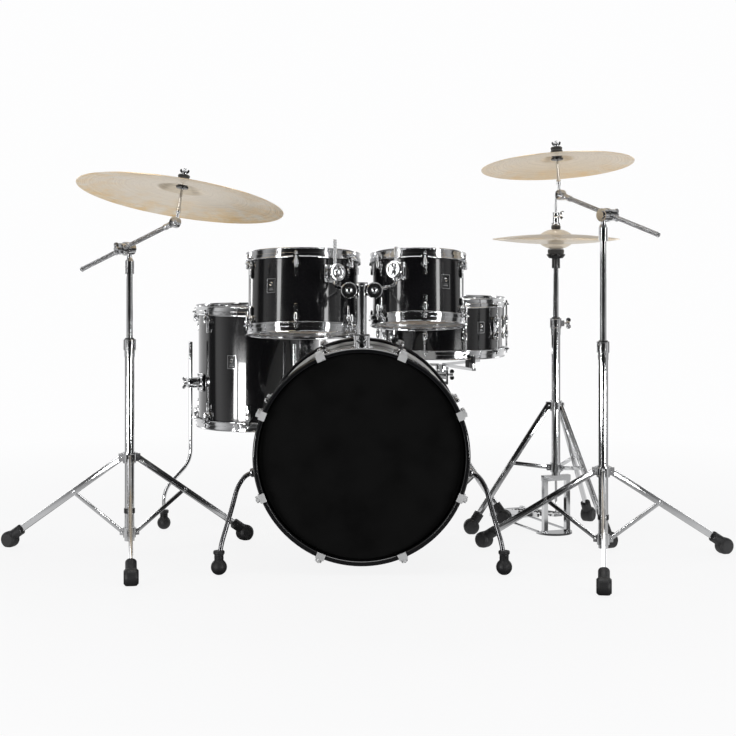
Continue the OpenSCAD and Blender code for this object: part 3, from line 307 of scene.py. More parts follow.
def cymbal_bronze(name, base, dark):
    """Lathed bronze: fine grooves about the local Z axis, soft hammer marks and a mottled rim."""
    s = Shade(name, base, 0.3, metal=0.3)
    flat = s.node("ShaderNodeVectorMath", operation="MULTIPLY")
    flat.inputs[1].default_value = (1, 1, 0)
    s.link(s.coords, flat.inputs[0])
    radius = s.node("ShaderNodeVectorMath", operation="LENGTH")
    s.link(flat.outputs[0], radius.inputs[0])
    rings = s.node("ShaderNodeTexNoise", noise_dimensions="1D", Scale=900.0, Detail=3.0)
    s.link(radius.outputs["Value"], rings.inputs["W"])
    rim = s.spread(radius.outputs["Value"], 0.12, 1.0, 0.10, 0.25)
    blots = s.maths("MULTIPLY", rim, s.spread(s.noise(13, 7, rough=0.72), 0.0, 1.0, 0.40, 0.62))
    tint = s.maths("ADD", blots, s.spread(rings.outputs["Fac"], 0.0, 0.10, 0.3, 0.7))
    middle_tone = tuple((a + b) / 2 for a, b in zip(base, dark))
    s.colour_by(tint, (0.1, base), (0.5, middle_tone), (1.0, dark))
    s.rough_by(rings.outputs["Fac"], 0.22, 0.36)
    s.bump_by(rings.outputs["Fac"], 0.14, 0.0002)
    marks = s.node("ShaderNodeTexVoronoi", feature="SMOOTH_F1", Scale=48.0, Smoothness=0.6)
    s.link(s.coords, marks.inputs["Vector"])
    s.bump_by(marks.outputs["Distance"], 0.12, 0.001)
    return s.mat


def rubber():
    s = Shade("rubber", (0.012, 0.012, 0.013), 0.55)
    s.rough_by(s.noise(40, 4), 0.42, 0.65)
    s.colour_by(s.noise(18, 4), (0.3, (0.008, 0.008, 0.009)), (0.75, (0.022, 0.022, 0.023)))
    s.bump_by(s.noise(500, 3), 0.18, 0.0004)
    return s.mat


def moulded_black():
    s = Shade("moulded_black", (0.012, 0.012, 0.013), 0.3)
    s.shaded(25, (0.013, 0.013, 0.014), 0.6)
    s.rough_by(s.noise(80, 3), 0.22, 0.38)
    s.bump_by(s.noise(900, 2), 0.08, 0.0002)
    return s.mat


def felt(name, base):
    s = Shade(name, base, 0.95)
    s.bsdf.inputs["Sheen Weight"].default_value = 0.5
    s.bsdf.inputs["Sheen Roughness"].default_value = 0.6
    fibres = s.noise(900, 6, rough=0.75)
    s.colour_by(fibres, (0.3, tuple(c * 0.6 for c in base)), (0.7, tuple(c * 1.5 for c in base)))
    s.bump_by(fibres, 0.7, 0.0008)
    return s.mat


LACQUER = black_lacquer()
CHROME = chrome()
BRUSHED = brushed_steel()
KNURLED = knurled_chrome()
# A darker copy of the chrome, used on the spur rods: painted shade.
SHADED_CHROME = chrome("shaded_chrome", (0.36, 0.36, 0.37), 0.08, 0.2)
SATIN_CHROME = chrome("satin_chrome", (0.88, 0.885, 0.89), 0.26, 0.4)
SATIN_CHROME.node_tree.nodes["Principled BSDF"].inputs["Metallic"].default_value = 0.4
FRONT_FILM = head_film("front_film", (0.003, 0.003, 0.003), 0.0, 0.5)
FRONT_FILM.node_tree.nodes["Principled BSDF"].inputs["Specular IOR Level"].default_value = 0.12
CLEAR_FILM = head_film("clear_film", (0.85, 0.85, 0.84), 0.62, 0.12)
COATED_FILM = head_film("coated_film", (0.80, 0.80, 0.78), 0.08, 0.5)
BIRCH = birch()
BRONZE = cymbal_bronze("bronze", (1.0, 0.88, 0.71), (0.95, 0.66, 0.30))
RUBBER = rubber()
MOULDED = moulded_black()
FELT_BLACK = felt("felt_black", (0.02, 0.02, 0.021))
FELT_WHITE = felt("felt_white", (0.72, 0.70, 0.64))


# ---------- mesh helpers ----------


# Shapes are written in millimetres in a place's own axes, and the place's matrix turns them
# into metres in the row frame.
ROW = Matrix.Scale(MM, 4)
# Turns the XY plane into a plate that faces +X, with its own +Y along Z
FACING_X = Matrix(((0, 0, 1, 0), (1, 0, 0, 0), (0, 1, 0, 0), (0, 0, 0, 1)))


def frame_at(origin, z_axis, x_hint=(1, 0, 0)):
    """Place at a point in metres, +Z along z_axis and +X as near x_hint as it can be."""
    z = Vector(z_axis).normalized()
    x = Vector(x_hint) - Vector(x_hint).dot(z) * z
    if x.length < 1e-6:
        x = z.orthogonal()
    x.normalize()
    y = z.cross(x)
    m = Matrix((x, y, z)).transposed().to_4x4()
    m.translation = Vector(origin)
    return m @ Matrix.Scale(MM, 4)


def spun(m, degrees, axis="Z"):
    return m @ Matrix.Rotation(math.radians(degrees), 4, axis)


def moved(m, x, y, z):
    return m @ Matrix.Translation((x, y, z))


def lathe(bm, profile, m, steps=48):
    """Turns a profile of (radius, height) points round the +Z axis of m."""
    rings = []
    for r, z in profile:
        if r < 1e-7:
            rings.append([bm.verts.new(m @ Vector((0, 0, z)))])
        else:
            turns = (math.tau * k / steps for k in range(steps))
            rings.append([bm.verts.new(m @ Vector((r * math.cos(t), r * math.sin(t), z))) for t in turns])
    for a, b in zip(rings, rings[1:]):
        for k in range(steps):
            j = (k + 1) % steps
            corners = [a[k % len(a)], a[j % len(a)], b[j % len(b)], b[k % len(b)]]
            kept = list(dict.fromkeys(corners))
            if len(kept) > 2:
                bm.faces.new(kept)
    return rings


def filleted(points, r, steps=6, share=0.48):
    """A path with its corners rounded by up to r, as points. A corner takes at most that share of
    the straights beside it."""
    pts = [Vector(p) for p in points]
    out = [pts[0]]
    for before, at, after in zip(pts, pts[1:], pts[2:]):
        a, b = before - at, after - at
        cut = min(r, a.length * share, b.length * share)
        start, end = at + a.normalized() * cut, at + b.normalized() * cut
        for k in range(steps + 1):
            u = k / steps
            out.append(start * (1 - u) ** 2 + at * 2 * u * (1 - u) + end * u * u)
    out.append(pts[-1])
    return out


def rounded(profile, r, steps=3):
    """The same profile with every inner corner rounded by up to r."""
    return [tuple(p) for p in filleted(profile, r, steps, 0.45)]


def ring_of_turn(bm, profile, m, steps=96):
    """Closed ring: the profile's last point joins its first."""
    rings = lathe(bm, profile, m, steps)
    first, last = rings[0], rings[-1]
    for k in range(steps):
        j = (k + 1) % steps
        bm.faces.new([last[k], last[j], first[j], first[k]])


def sweep(bm, path, radius, m=ROW, sides=20):
    """Round bar along a path, with flat ends."""
    pts = [Vector(p) for p in path]
    along = [(b - a).normalized() for a, b in zip(pts, pts[1:])]
    tangents = [along[0]] + [(a + b).normalized() for a, b in zip(along, along[1:])] + [along[-1]]
    side = tangents[0].orthogonal().normalized()
    rings = []
    for p, t in zip(pts, tangents):
        side = (side - side.dot(t) * t).normalized()
        other = t.cross(side)
        turns = (math.tau * k / sides for k in range(sides))
        rings.append(
            [bm.verts.new(m @ (p + radius * (math.cos(w) * side + math.sin(w) * other))) for w in turns]
        )
    for a, b in zip(rings, rings[1:]):
        for k in range(sides):
            j = (k + 1) % sides
            bm.faces.new([a[k], a[j], b[j], b[k]])
    bm.faces.new(list(reversed(rings[0])))
    bm.faces.new(rings[-1])


def prism(bm, outline, low, high, m, soft=0.7):
    """Extrudes an outline in the XY plane of m from low to high, with its rims bevelled."""
    under = [bm.verts.new(m @ Vector((x, y, low))) for x, y in outline]
    over = [bm.verts.new(m @ Vector((x, y, high))) for x, y in outline]
    faces = [bm.faces.new(list(reversed(under))), bm.faces.new(over)]
    count = len(outline)
    for k in range(count):
        j = (k + 1) % count
        faces.append(bm.faces.new([under[k], under[j], over[j], over[k]]))
    rim = list({e for f in faces[:2] for e in f.edges})
    if soft:
        bmesh.ops.bevel(bm, geom=rim, offset=soft * MM, segments=2, affect="EDGES", profile=0.6)


def block(bm, size, m, soft=0.7):
    """Box centred on m's origin."""
    x, y, z = (v / 2 for v in size)
    outline = corner_rounded([(-x, -y), (x, -y), (x, y), (-x, y)], min(soft * 2, x * 0.5, y * 0.5))
    prism(bm, outline, -z, z, m, min(soft, z * 0.5))


def corner_rounded(outline, r, steps=3):
    """Closed outline with rounded corners."""
    closed = [*outline[-1:], *outline, *outline[:1]]
    return [tuple(p) for p in rounded(closed, r, steps)[1:-1]]


def piece(name, bm, mat, body, angle=38, at=None):
    """Turns the bmesh into a shaded object that rides on a body. at is its place, if it has its own."""
    bmesh.ops.remove_doubles(bm, verts=bm.verts, dist=1e-6)
    bmesh.ops.recalc_face_normals(bm, faces=bm.faces)
    mesh = bpy.data.meshes.new(name)
    bm.to_mesh(mesh)
    bm.free()
    mesh.shade_smooth()
    mesh.set_sharp_from_angle(angle=math.radians(angle))
    mesh.materials.append(mat)
    obj = bpy.data.objects.new(name, mesh)
    bpy.context.scene.collection.objects.link(obj)
    if at is not None:
        obj.matrix_world = at @ Matrix.Scale(1 / MM, 4)
    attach(obj, body)
    return obj


# ---------- the CAD nodes' own finish ----------

FINISH = {
    "black_lacquer": LACQUER,
    "chrome": CHROME,
    "black_head": FRONT_FILM,
    "white_head": COATED_FILM,
    "bronze": BRONZE,
    "rubber": RUBBER,
    "steel": BRUSHED,
}


def dress(node, mat, soft=0.0005):
    """Gives a CAD node its material, smooth curves and a fine bevel on its edges."""
    obj = NODES[node]
    for cell in obj.material_slots:
        cell.material = mat
    if not obj.material_slots:
        obj.data.materials.append(mat)
    weld = obj.modifiers.new("weld", "WELD")
    weld.merge_threshold = 1e-6
    if soft:
        bevel = obj.modifiers.new("bevel", "BEVEL")
        bevel.width = soft
        bevel.segments = 2
        bevel.limit_method = "ANGLE"
        bevel.angle_limit = math.radians(40)
        bevel.use_clamp_overlap = True
        bevel.harden_normals = False
        normals = obj.modifiers.new("normals", "WEIGHTED_NORMAL")
        normals.keep_sharp = True


OWN_FINISH = {"bass_claws": SATIN_CHROME}
for subpart in frame["record"]["subparts"]:
    dress(subpart["node"], OWN_FINISH.get(subpart["node"], FINISH[subpart["material_slot"]]))

# ---------- floor ----------

floor_bm = bmesh.new()
bmesh.ops.create_circle(floor_bm, cap_ends=True, radius=40, segments=96)
floor_mesh = bpy.data.meshes.new("floor")
floor_bm.to_mesh(floor_mesh)
floor_bm.free()
floor = bpy.data.objects.new("floor", floor_mesh)
floor.location.z = -0.0005
bpy.context.scene.collection.objects.link(floor)
paper = Shade("paper", (0.9, 0.9, 0.9), 0.45)
paper.rough_by(paper.noise(3, 4), 0.4, 0.55)
paper.bump_by(paper.noise(120, 2), 0.02, 0.0005)
reach = paper.node("ShaderNodeVectorMath", operation="LENGTH")
paper.link(paper.coords, reach.inputs[0])
glow = paper.spread(reach.outputs["Value"], FLOOR_GLOW, 1.0, 1.0, 2.6)
white = paper.node("ShaderNodeEmission", Color=(0.985, 0.985, 0.988, 1))
# The metal sees the paper in the studio's tones, so that it keeps its contrast
toward = paper.node("ShaderNodeVectorMath", operation="NORMALIZE")
paper.link(paper.coords, toward.inputs[0])
toward_y = paper.node("ShaderNodeSeparateXYZ")
paper.link(toward.outputs[0], toward_y.inputs[0])
seen_by = paper.node("ShaderNodeLightPath")
shown = paper.node("ShaderNodeMix", data_type="FLOAT")
paper.link(seen_by.outputs["Is Camera Ray"], shown.inputs["Factor"])
paper.link(paper.spread(studio_tones(paper.nt, toward_y.outputs["Y"]), 0.0, FLOOR_REFLECTED, 0.0, 1.0),
           shown.inputs["A"])
shown.inputs["B"].default_value = WHITE_SKY
paper.link(shown.outputs["Result"], white.inputs["Strength"])
blend = paper.node("ShaderNodeMixShader")
paper.link(glow, blend.inputs[0])
paper.link(paper.bsdf.outputs[0], blend.inputs[1])
paper.link(white.outputs[0], blend.inputs[2])
paper.link(blend.outputs[0], paper.nt.nodes["Material Output"].inputs[0])
floor_mesh.materials.append(paper.mat)

# ---------- drums ----------


class Drum:
    """Where a drum is, read from its shell: a place in its middle, its radius and its depth."""

    def __init__(self, name, axis, turn, count):
        lo, hi = box(name + "_shell")
        size = (hi - lo) / MM
        self.name, self.turn, self.count = name, turn, count
        self.r = size.x / 2
        lean = math.acos(min(1.0, Vector(axis).z))
        self.depth = (size.z - 2 * self.r * math.sin(lean)) / math.cos(lean)
        self.m = frame_at((lo + hi) / 2, axis)

    def at(self, angle, z, out=0.0):
        """Place on the shell's outside: +X points out, +Z along the drum's axis."""
        return moved(spun(self.m, angle), self.r + out, 0, z)


LUG_DOWN = 30
KEY_Z = -8.8
ROD_OUT = 13.0


def diamond(half_w, half_h, r=3.0):
    return corner_rounded([(0, -half_h), (half_w, 0), (0, half_h), (-half_w, 0)], r)


def tail_outline(half_w, top, bottom):
    return corner_rounded([(-half_w, bottom), (half_w, bottom), (half_w, top), (-half_w, top)], 3.0)


def tension_rod(bm, m, top, length):
    """Threaded rod with washer and square key head; m's +Z points out of the drum."""
    lathe(bm, rounded([(0, top - length), (2.6, top - length), (2.6, top), (5.6, top + 0.1),
                       (5.6, top + 1.6), (4.2, top + 2.2), (4.2, top + 3.4), (0, top + 3.4)], 0.3), m, 20)
    block(bm, (5.6, 5.6, 7.0), moved(m, 0, 0, top + 6.6), 0.7)


def lug(bm, m, tail):
    """Diamond lug: m sits on the shell, +X out, +Z towards the hoop."""
    face = m @ FACING_X
    prism(bm, diamond(12.5, 15), 0.3, 5.0, face, 1.2)
    prism(bm, diamond(8.0, 9.5), 5.0, 9.0, face, 1.4)
    prism(bm, tail_outline(6.0, -6, -tail), 0.3, 5.4, face, 1.6)
    prism(bm, tail_outline(3.0, -9, -tail + 5), 5.4, 6.4, face, 0.6)
    lathe(bm, rounded([(0, -9), (3.4, -9), (5.4, -6), (5.4, 9), (4.4, 11.5), (0, 11.5)], 0.8),
          moved(m, ROD_OUT, 0, 0), 28)
    block(bm, (ROD_OUT - 4, 5.5, 9), moved(m, ROD_OUT * 0.55, 0, 0), 1.0)


def drum_lugs(drum, body, tail):
    """All lugs and rods of a drum, in place of the CAD's plain ones."""
    bm = bmesh.new()
    for side in (1, -1):
        flip = Matrix.Diagonal((1, 1, side, 1))
        for k in range(drum.count):
            angle = drum.turn + 360 * k / drum.count
            lug(bm, drum.at(angle, side * (drum.depth / 2 - LUG_DOWN)) @ flip, tail)
            rod = drum.at(angle, side * drum.depth / 2, ROD_OUT) @ flip
            tension_rod(bm, rod, KEY_Z, 20)
    return piece(drum.name + "_cast_lugs", bm, CHROME, body)


def wooden_inside(drum, body, wall=7.15):
    """Birch lining inside a shell, seen through a clear head."""
    bm = bmesh.new()
    h = drum.depth / 2 - 6
    lathe(bm, [(drum.r - wall, -h), (drum.r - wall, h)], drum.m, 96)
    lining = piece(drum.name + "_birch_inside", bm, BIRCH, body)
    for face in lining.data.polygons:
        face.flip()


def badge(drum, body, angle, z, width=27, height=38):
    """Blank plate with a bright rim and the shell's air vent in it."""
    bm = bmesh.new()
    steps = 10
    face = drum.at(angle, z) @ FACING_X

    def wrap(x, y, lift):
        a = x / drum.r
        return face @ Vector(((drum.r + lift) * math.sin(a), y, (drum.r + lift) * math.cos(a) - drum.r))

    grid = {}
    for i in range(steps + 1):
        for j in range(2):
            for lift in (0.1, 1.0):
                x = (i / steps - 0.5) * width
                y = (j - 0.5) * height
                grid[i, j, lift] = bm.verts.new(wrap(x, y, lift))
    for i in range(steps):
        bm.faces.new([grid[i, 0, 1.0], grid[i + 1, 0, 1.0], grid[i + 1, 1, 1.0], grid[i, 1, 1.0]])
        for j in (0, 1):
            bm.faces.new([grid[i, j, 0.1], grid[i + 1, j, 0.1], grid[i + 1, j, 1.0], grid[i, j, 1.0]])
    for i in (0, steps):
        bm.faces.new([grid[i, 0, 0.1], grid[i, 1, 0.1], grid[i, 1, 1.0], grid[i, 0, 1.0]])
    piece(drum.name + "_badge", bm, MOULDED, body)
    bm = bmesh.new()
    rim = 1.1
    for x0, x1, y0, y1 in (
        (-width / 2, width / 2, -height / 2, -height / 2 + rim),
        (-width / 2, width / 2, height / 2 - rim, height / 2),
        (-width / 2, -width / 2 + rim, -height / 2, height / 2),
        (width / 2 - rim, width / 2, -height / 2, height / 2),
        (-width * 0.26, width * 0.26, -height * 0.32, -height * 0.27),
        (-width * 0.18, width * 0.18, -height * 0.20, -height * 0.16),
    ):
        cells = max(1, round((x1 - x0) / 3))
        rows = [
            [bm.verts.new(wrap(x0 + (x1 - x0) * i / cells, y, 1.5)) for i in range(cells + 1)]
            for y in (y0, y1)
        ]
        for i in range(cells):
            bm.faces.new([rows[0][i], rows[0][i + 1], rows[1][i + 1], rows[1][i]])
    ring_of_turn(bm, [(2.6, 0.9), (5.2, 0.9), (5.2, 2.0), (4.2, 2.8), (2.6, 2.0)],
                 moved(face, 0, height * 0.12, 0), 32)
    piece(drum.name + "_badge_trim", bm, CHROME, body)


def wing_nut(bm, m, wing=14.0, hub=6.0):
    """Cast wing nut on m's origin, its screw along +Z."""
    lathe(bm, rounded([(0, 0), (hub, 0), (hub, 3), (hub - 1.2, 9), (0, 9)], 0.8), m, 24)
    for side in (1, -1):
        ear = [(hub - 2.0, 1.5), (wing * 0.75, 2.5), (wing * 1.15, 8.0), (wing * 1.05, 13.0),
               (wing * 0.75, 13.5), (hub - 1.0, 7.5)]
        upright = spun(m, 90, "X")
        outline = corner_rounded([(side * x, y) for x, y in ear], 2.2)
        prism(bm, outline, -1.7, 1.7, upright, 0.8)


def bolt(bm, m, r, half, dome=1.2):
    """Pin through a joint, with a domed head at both ends; m's +Z is its axis."""
    lathe(bm, rounded([(0, -half - dome), (r * 0.6, -half - dome), (r, -half), (r, half),
                       (r * 0.6, half + dome), (0, half + dome)], 0.4), m, 20)


def double_lug(bm, m, half):
    """Snare drum's centre lug, for both hoops."""
    face = m @ FACING_X
    prism(bm, tail_outline(6.0, half, -half), 0.3, 5.6, face, 1.6)
    for side in (1, -1):
        prism(bm, diamond(9.5, 11), 0.3, 6.4, moved(face, 0, side * (half - 4), 0), 1.2)
    lathe(bm, rounded([(0, -half - 6), (4.0, -half - 6), (5.4, -half), (5.4, -half + 14), (3.4, -half + 17),
                       (3.4, half - 17), (5.4, half - 14), (5.4, half), (4.0, half + 6), (0, half + 6)], 0.8),
          moved(m, ROD_OUT, 0, 0), 28)
    for side in (1, -1):
        block(bm, (ROD_OUT - 4, 5.5, 10), moved(m, ROD_OUT * 0.55, 0, side * (half - 7)), 1.0)


def bracket(bm, m, out, size):
    """Leg or arm bracket on a shell: base plate and clamping block."""
    face = m @ FACING_X
    width, height = size
    prism(bm, corner_rounded([(-width, -height), (width, -height), (width, height), (-width, height)], 5),
          0.5, 5.0, face, 1.2)
    block(bm, (out + 6, width * 1.3, height * 1.05), moved(m, (out + 6) / 2 + 4, 0, 0), 2.0)
    for y in (-1, 1):
        for z in (-1, 1):
            lathe(bm, rounded([(0, 4.8), (3.6, 4.8), (3.2, 6.8), (0, 6.8)], 0.5),
                  moved(face, y * (width - 5), z * (height - 5), 0), 16)


# Turn of each drum's first lug, in degrees, and how many it has
LEFT_TOM = Drum("left_tom", joint("left_tom_slide")["axis"], -94.5, 6)
RIGHT_TOM = Drum("right_tom", joint("right_tom_slide")["axis"], -84.1, 6)
FLOOR_TOM = Drum("floor_tom", UP, -95.6, 8)
SNARE = Drum("snare", UP, 0.0, 10)

for drum, body, tail, badge_turn in (
    (LEFT_TOM, "left_tom", 34, -122),
    (RIGHT_TOM, "right_tom", 31, -56),
    (FLOOR_TOM, "kit_base", 36, -112),
):
    lugs = drum_lugs(drum, body, tail)
    if drum is not FLOOR_TOM:
        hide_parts(drum.name + "_lugs")
    wooden_inside(drum, body)
    badge(drum, body, badge_turn, drum.depth * 0.06)

snare_bm = bmesh.new()
for k in range(SNARE.count):
    turn = 360 * k / SNARE.count
    double_lug(snare_bm, SNARE.at(turn, 0), 27)
    for side in (1, -1):
        flip = Matrix.Diagonal((1, 1, side, 1))
        tension_rod(snare_bm, SNARE.at(turn, side * SNARE.depth / 2, ROD_OUT) @ flip, KEY_Z, 48)
snare_lugs = piece("snare_cast_lugs", snare_bm, CHROME, "snare_drum")
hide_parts("snare_lugs")
wooden_inside(SNARE, "snare_drum")
badge(SNARE, "snare_drum", -54, 4, 24, 32)

# ---------- floor tom's brackets and legs ----------

FLOOR_LEG_TURNS = {"left": 204, "front": 302, "rear": 70}
FLOOR_LEG_OUT = 33
FLOOR_LEG_SPLAY = 80
FLOOR_LEG_R = 5.5
FLOOR_LEG_BEND_Z = (190, 112)
BRACKET_Z = 416


def rubber_foot(bm, m, ball, neck, height):
    """Ball foot with a flat sole, a ribbed neck and a rolled collar; m is on the floor."""
    profile = [(0, 0), (ball * 0.34, 0)]
    for k in range(1, 11):
        a = math.radians(-70 + 12 * k)
        profile.append((ball * math.cos(a), ball * (math.sin(a) + math.sin(math.radians(70)))))
    z = profile[-1][1]
    profile += [(neck, z + 1)]
    ribs = 4
    for k in range(ribs):
        low = z + 2 + (height - z - 12) * k / ribs
        high = z + 2 + (height - z - 12) * (k + 0.6) / ribs
        profile += [(neck, low), (neck - 0.9, low + 0.8), (neck - 0.9, high), (neck, high + 0.8)]
    profile += [(neck, height - 9), (neck + 2.2, height - 7), (neck + 2.2, height - 1.5),
                (neck + 1.0, height), (0, height)]
    lathe(bm, profile, m, 40)


def floor_leg(name, turn):
    body = "floor_tom_leg_" + name
    lo, hi = box(body)
    top = hi.z / MM
    m = spun(frame_at((FLOOR_TOM.m.translation.x, FLOOR_TOM.m.translation.y, 0), UP), turn)
    x = FLOOR_TOM.r + FLOOR_LEG_OUT
    upper, lower = FLOOR_LEG_BEND_Z
    path = filleted(
        [(x, 0, top), (x, 0, upper), (x + FLOOR_LEG_SPLAY, 0, lower), (x + FLOOR_LEG_SPLAY, 0, 20)], 34, 8
    )
    bm = bmesh.new()
    sweep(bm, path, FLOOR_LEG_R, m, 24)
    rod = piece(body + "_rod", bm, CHROME, body)
    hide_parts(body)
    bm = bmesh.new()
    rubber_foot(bm, moved(m, x + FLOOR_LEG_SPLAY, 0, 0), 19, 11.5, 54)
    piece(body + "_foot", bm, RUBBER, body)


for name, turn in FLOOR_LEG_TURNS.items():
    floor_leg(name, turn)

hardware = bmesh.new()
for turn in FLOOR_LEG_TURNS.values():
    m = FLOOR_TOM.at(turn, BRACKET_Z - FLOOR_TOM.m.translation.z / MM)
    bracket(hardware, m, FLOOR_LEG_OUT, (22, 26))
    wing_nut(hardware, spun(moved(m, FLOOR_LEG_OUT + 12, 0, 0), 90, "Y"), 15)
clamps = piece("floor_tom_leg_clamps", hardware, CHROME, "kit_base")
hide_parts("floor_tom_hardware")

# ---------- bass drum ----------

bass_shell_lo, bass_shell_hi = box("bass_shell")
BASS_R = (bass_shell_hi.x - bass_shell_lo.x) / 2 / MM
BASS_DEPTH = (bass_shell_hi.y - bass_shell_lo.y) / MM
BASS = frame_at(middle("bass_shell"), (0, -1, 0))
BASS_RODS = 8
BASS_ROD_OUT = 24
BASS_LUG_DOWN = 72


def bass_lug(bm, m):
    face = m @ FACING_X
    prism(bm, diamond(14, 18), 0.3, 5.5, face, 1.4)
    prism(bm, diamond(9, 11), 5.5, 10.5, face, 1.6)
    prism(bm, tail_outline(6.5, -8, -34), 0.3, 6.4, face, 1.8)
    lathe(bm, rounded([(0, -12), (4.2, -12), (6.4, -8), (6.4, 14), (5.0, 17), (0, 17)], 0.9),
          moved(m, BASS_ROD_OUT, 0, 0), 28)
    block(bm, (BASS_ROD_OUT - 6, 8, 14), moved(m, BASS_ROD_OUT * 0.5, 0, 2), 1.6)


bm = bmesh.new()
for side in (1, -1):
    flip = Matrix.Diagonal((1, 1, side, 1))
    for k in range(BASS_RODS):
        m = spun(BASS, 22.5 + 360 * k / BASS_RODS)
        bass_lug(bm, moved(m, BASS_R, 0, side * (BASS_DEPTH / 2 - BASS_LUG_DOWN)) @ flip)
bass_lugs = piece("bass_cast_lugs", bm, CHROME, "kit_base")
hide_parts("bass_lugs")

SPUR_R = 6.0
SPUR_FOOT_R = 20
SPUR_SLOPE = math.radians(11)


def spur(side, name):
    """Curved spur: side is -1 on the viewer's left."""
    hinge = joint(name + "_fold")
    p = Vector(hinge["pos_m"]) / MM
    lo, hi = box(name)
    f = Vector(((lo.x if side < 0 else hi.x) / MM - side * SPUR_FOOT_R, lo.y / MM + SPUR_FOOT_R, 0))
    out = Vector((side * math.cos(SPUR_SLOPE), 0, -math.sin(SPUR_SLOPE)))
    path = filleted(
        [p - 6 * out, p + Vector((side * 24, -4, -6)), p + Vector((side * 44, -18, -34)),
         p + Vector((side * 56, -40, -84)), f + Vector((-side * 4, 10, 70)), f + Vector((0, 0, 30))], 60, 8
    )
    bm = bmesh.new()
    sweep(bm, path, SPUR_R, ROW, 24)
    lathe(bm, rounded([(0, -12), (11.5, -12), (11.5, 9), (10, 13), (0, 13)], 1.0),
          frame_at(Vector(hinge["pos_m"]), out), 40)
    rod = piece(name + "_rod", bm, SHADED_CHROME, name)
    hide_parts(name)
    bm = bmesh.new()
    rubber_foot(bm, frame_at(f * MM, UP), SPUR_FOOT_R, 12, 59)
    piece(name + "_foot", bm, RUBBER, name)


spur(-1, "left_spur")
spur(1, "right_spur")

# ---------- cymbals ----------

FELT_R = 14.0
CYMBAL_T = 1.4


def cymbal(name, place, radius, height, bell_r, bell_h, body, upturned=False):
    """Cymbal in its own axes: the bell's top is at 0 and the edge hangs below it."""
    bow = height - bell_h
    top = [(6.5, 0.0)]
    for k in range(1, 13):
        u = k / 12
        top.append((9 + (bell_r - 9) * u, bow + bell_h * math.cos(math.pi / 2 * u) ** 0.85 - height))
    for k in range(1, 29):
        u = k / 28
        top.append((bell_r + (radius - bell_r) * u, bow * (1 - u**1.55) - height))
    edge = [(radius - 0.1, top[-1][1] - CYMBAL_T * 0.5), (radius - 0.5, top[-1][1] - CYMBAL_T)]
    under = [(r, z - CYMBAL_T) for r, z in reversed(top[:-1])]
    bm = bmesh.new()
    ring_of_turn(bm, [*top, *edge, *under], Matrix.Scale(MM, 4), 144)
    at = place @ Matrix.Rotation(math.pi, 4, "X") if upturned else place
    made = piece(name + "_lathed", bm, BRONZE, body, 50, at)
    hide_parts(name)


def felt_washer(name, place, low, high, radius, hole, body):
    """Pressed felt ring, a little fuller in the middle of its height."""
    bm = bmesh.new()
    soft = min(2.2, (high - low) * 0.3)
    mid = (low + high) / 2
    ring_of_turn(
        bm,
        [(hole, low), (radius - soft, low), (radius - 0.3 * soft, low + 0.4 * soft), (radius, low + soft),
         (radius + 0.5, mid), (radius, high - soft), (radius - 0.3 * soft, high - 0.4 * soft),
         (radius - soft, high), (hole, high)],
        place, 64,
    )
    made = piece(name, bm, FELT_BLACK, body)


def rod_place(side, swing):
    """Place on a boom cymbal's seat with +Z up its rod, and how far below it the rod starts."""
    turn = joint(side + "_tilter_turn")
    seat = Vector(joint(swing)["pos_m"])
    foot = Vector(turn["pos_m"]) - 4.7 * MM * Vector(turn["axis"])
    return frame_at(seat, seat - foot), (seat - foot).length / MM


ROD_OVER = 34.0
for side, swing, name, shape in (
    ("left", "ride_cymbal_swing", "ride_cymbal", (46.0, 62.0, 20.0)),
    ("right", "crash_cymbal_swing", "crash_cymbal", (34.0, 46.0, 14.0)),
):
    place, foot = rod_place(side, swing)
    lo, hi = box(name)
    lean = Vector((place[0][2], place[1][2], place[2][2])).normalized()
    radius = (hi - lo).x / MM / 2 / math.sqrt(1 - lean.x**2) - 0.3
    cymbal(name, place, radius, *shape, name)
    felt_washer(name + "_felt_low", place, -CYMBAL_T - 9.1, -CYMBAL_T - 0.1, FELT_R, 6.2, name)
    felt_washer(name + "_felt_high", place, 0.1, 9.4, FELT_R + 1.6, 6.2, name)
    felt_washer(name + "_felt_top", place, 9.5, 17.1, FELT_R + 1.2, 6.2, name)
    post = side + "_cymbal_post"
    bm = bmesh.new()
    lathe(bm, rounded([(0, -foot), (4.1, -foot), (4.1, 26 - foot), (6.0, 27 - foot), (6.0, 40 - foot),
                       (3.9, 41 - foot), (3.9, ROD_OVER - 1), (3.2, ROD_OVER),
                       (0, ROD_OVER)], 0.5), place, 32)
    turned = joint(side + "_tilter_turn")
    disc = frame_at(turned["pos_m"], -Vector(turned["axis"]))
    lathe(bm, rounded([(0, 0.4), (13.2, 0.4), (14, 1.2), (14, 7.6), (12.8, 9), (6.5, 9.2), (6.5, 14),
                       (5.2, 15), (0, 15)], 0.5), disc, 48)
    rod = piece(post + "_rod", bm, CHROME, post)
    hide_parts(post)
    bm = bmesh.new()
    wing_nut(bm, moved(place, 0, 0, 18), 11, 7)
    piece(post + "_wing_nut", bm, CHROME, post)
    bm = bmesh.new()
    ring_of_turn(bm, [(3.9, -18), (15, -18), (16, -16.5), (16, -13.6), (14.5, -13), (4.35, -13),
                      (4.35, 16.5), (3.9, 17)], place, 48)
    piece(post + "_cup", bm, MOULDED, post)

# ---------- booms ----------

BOOM_LEN = 348.0

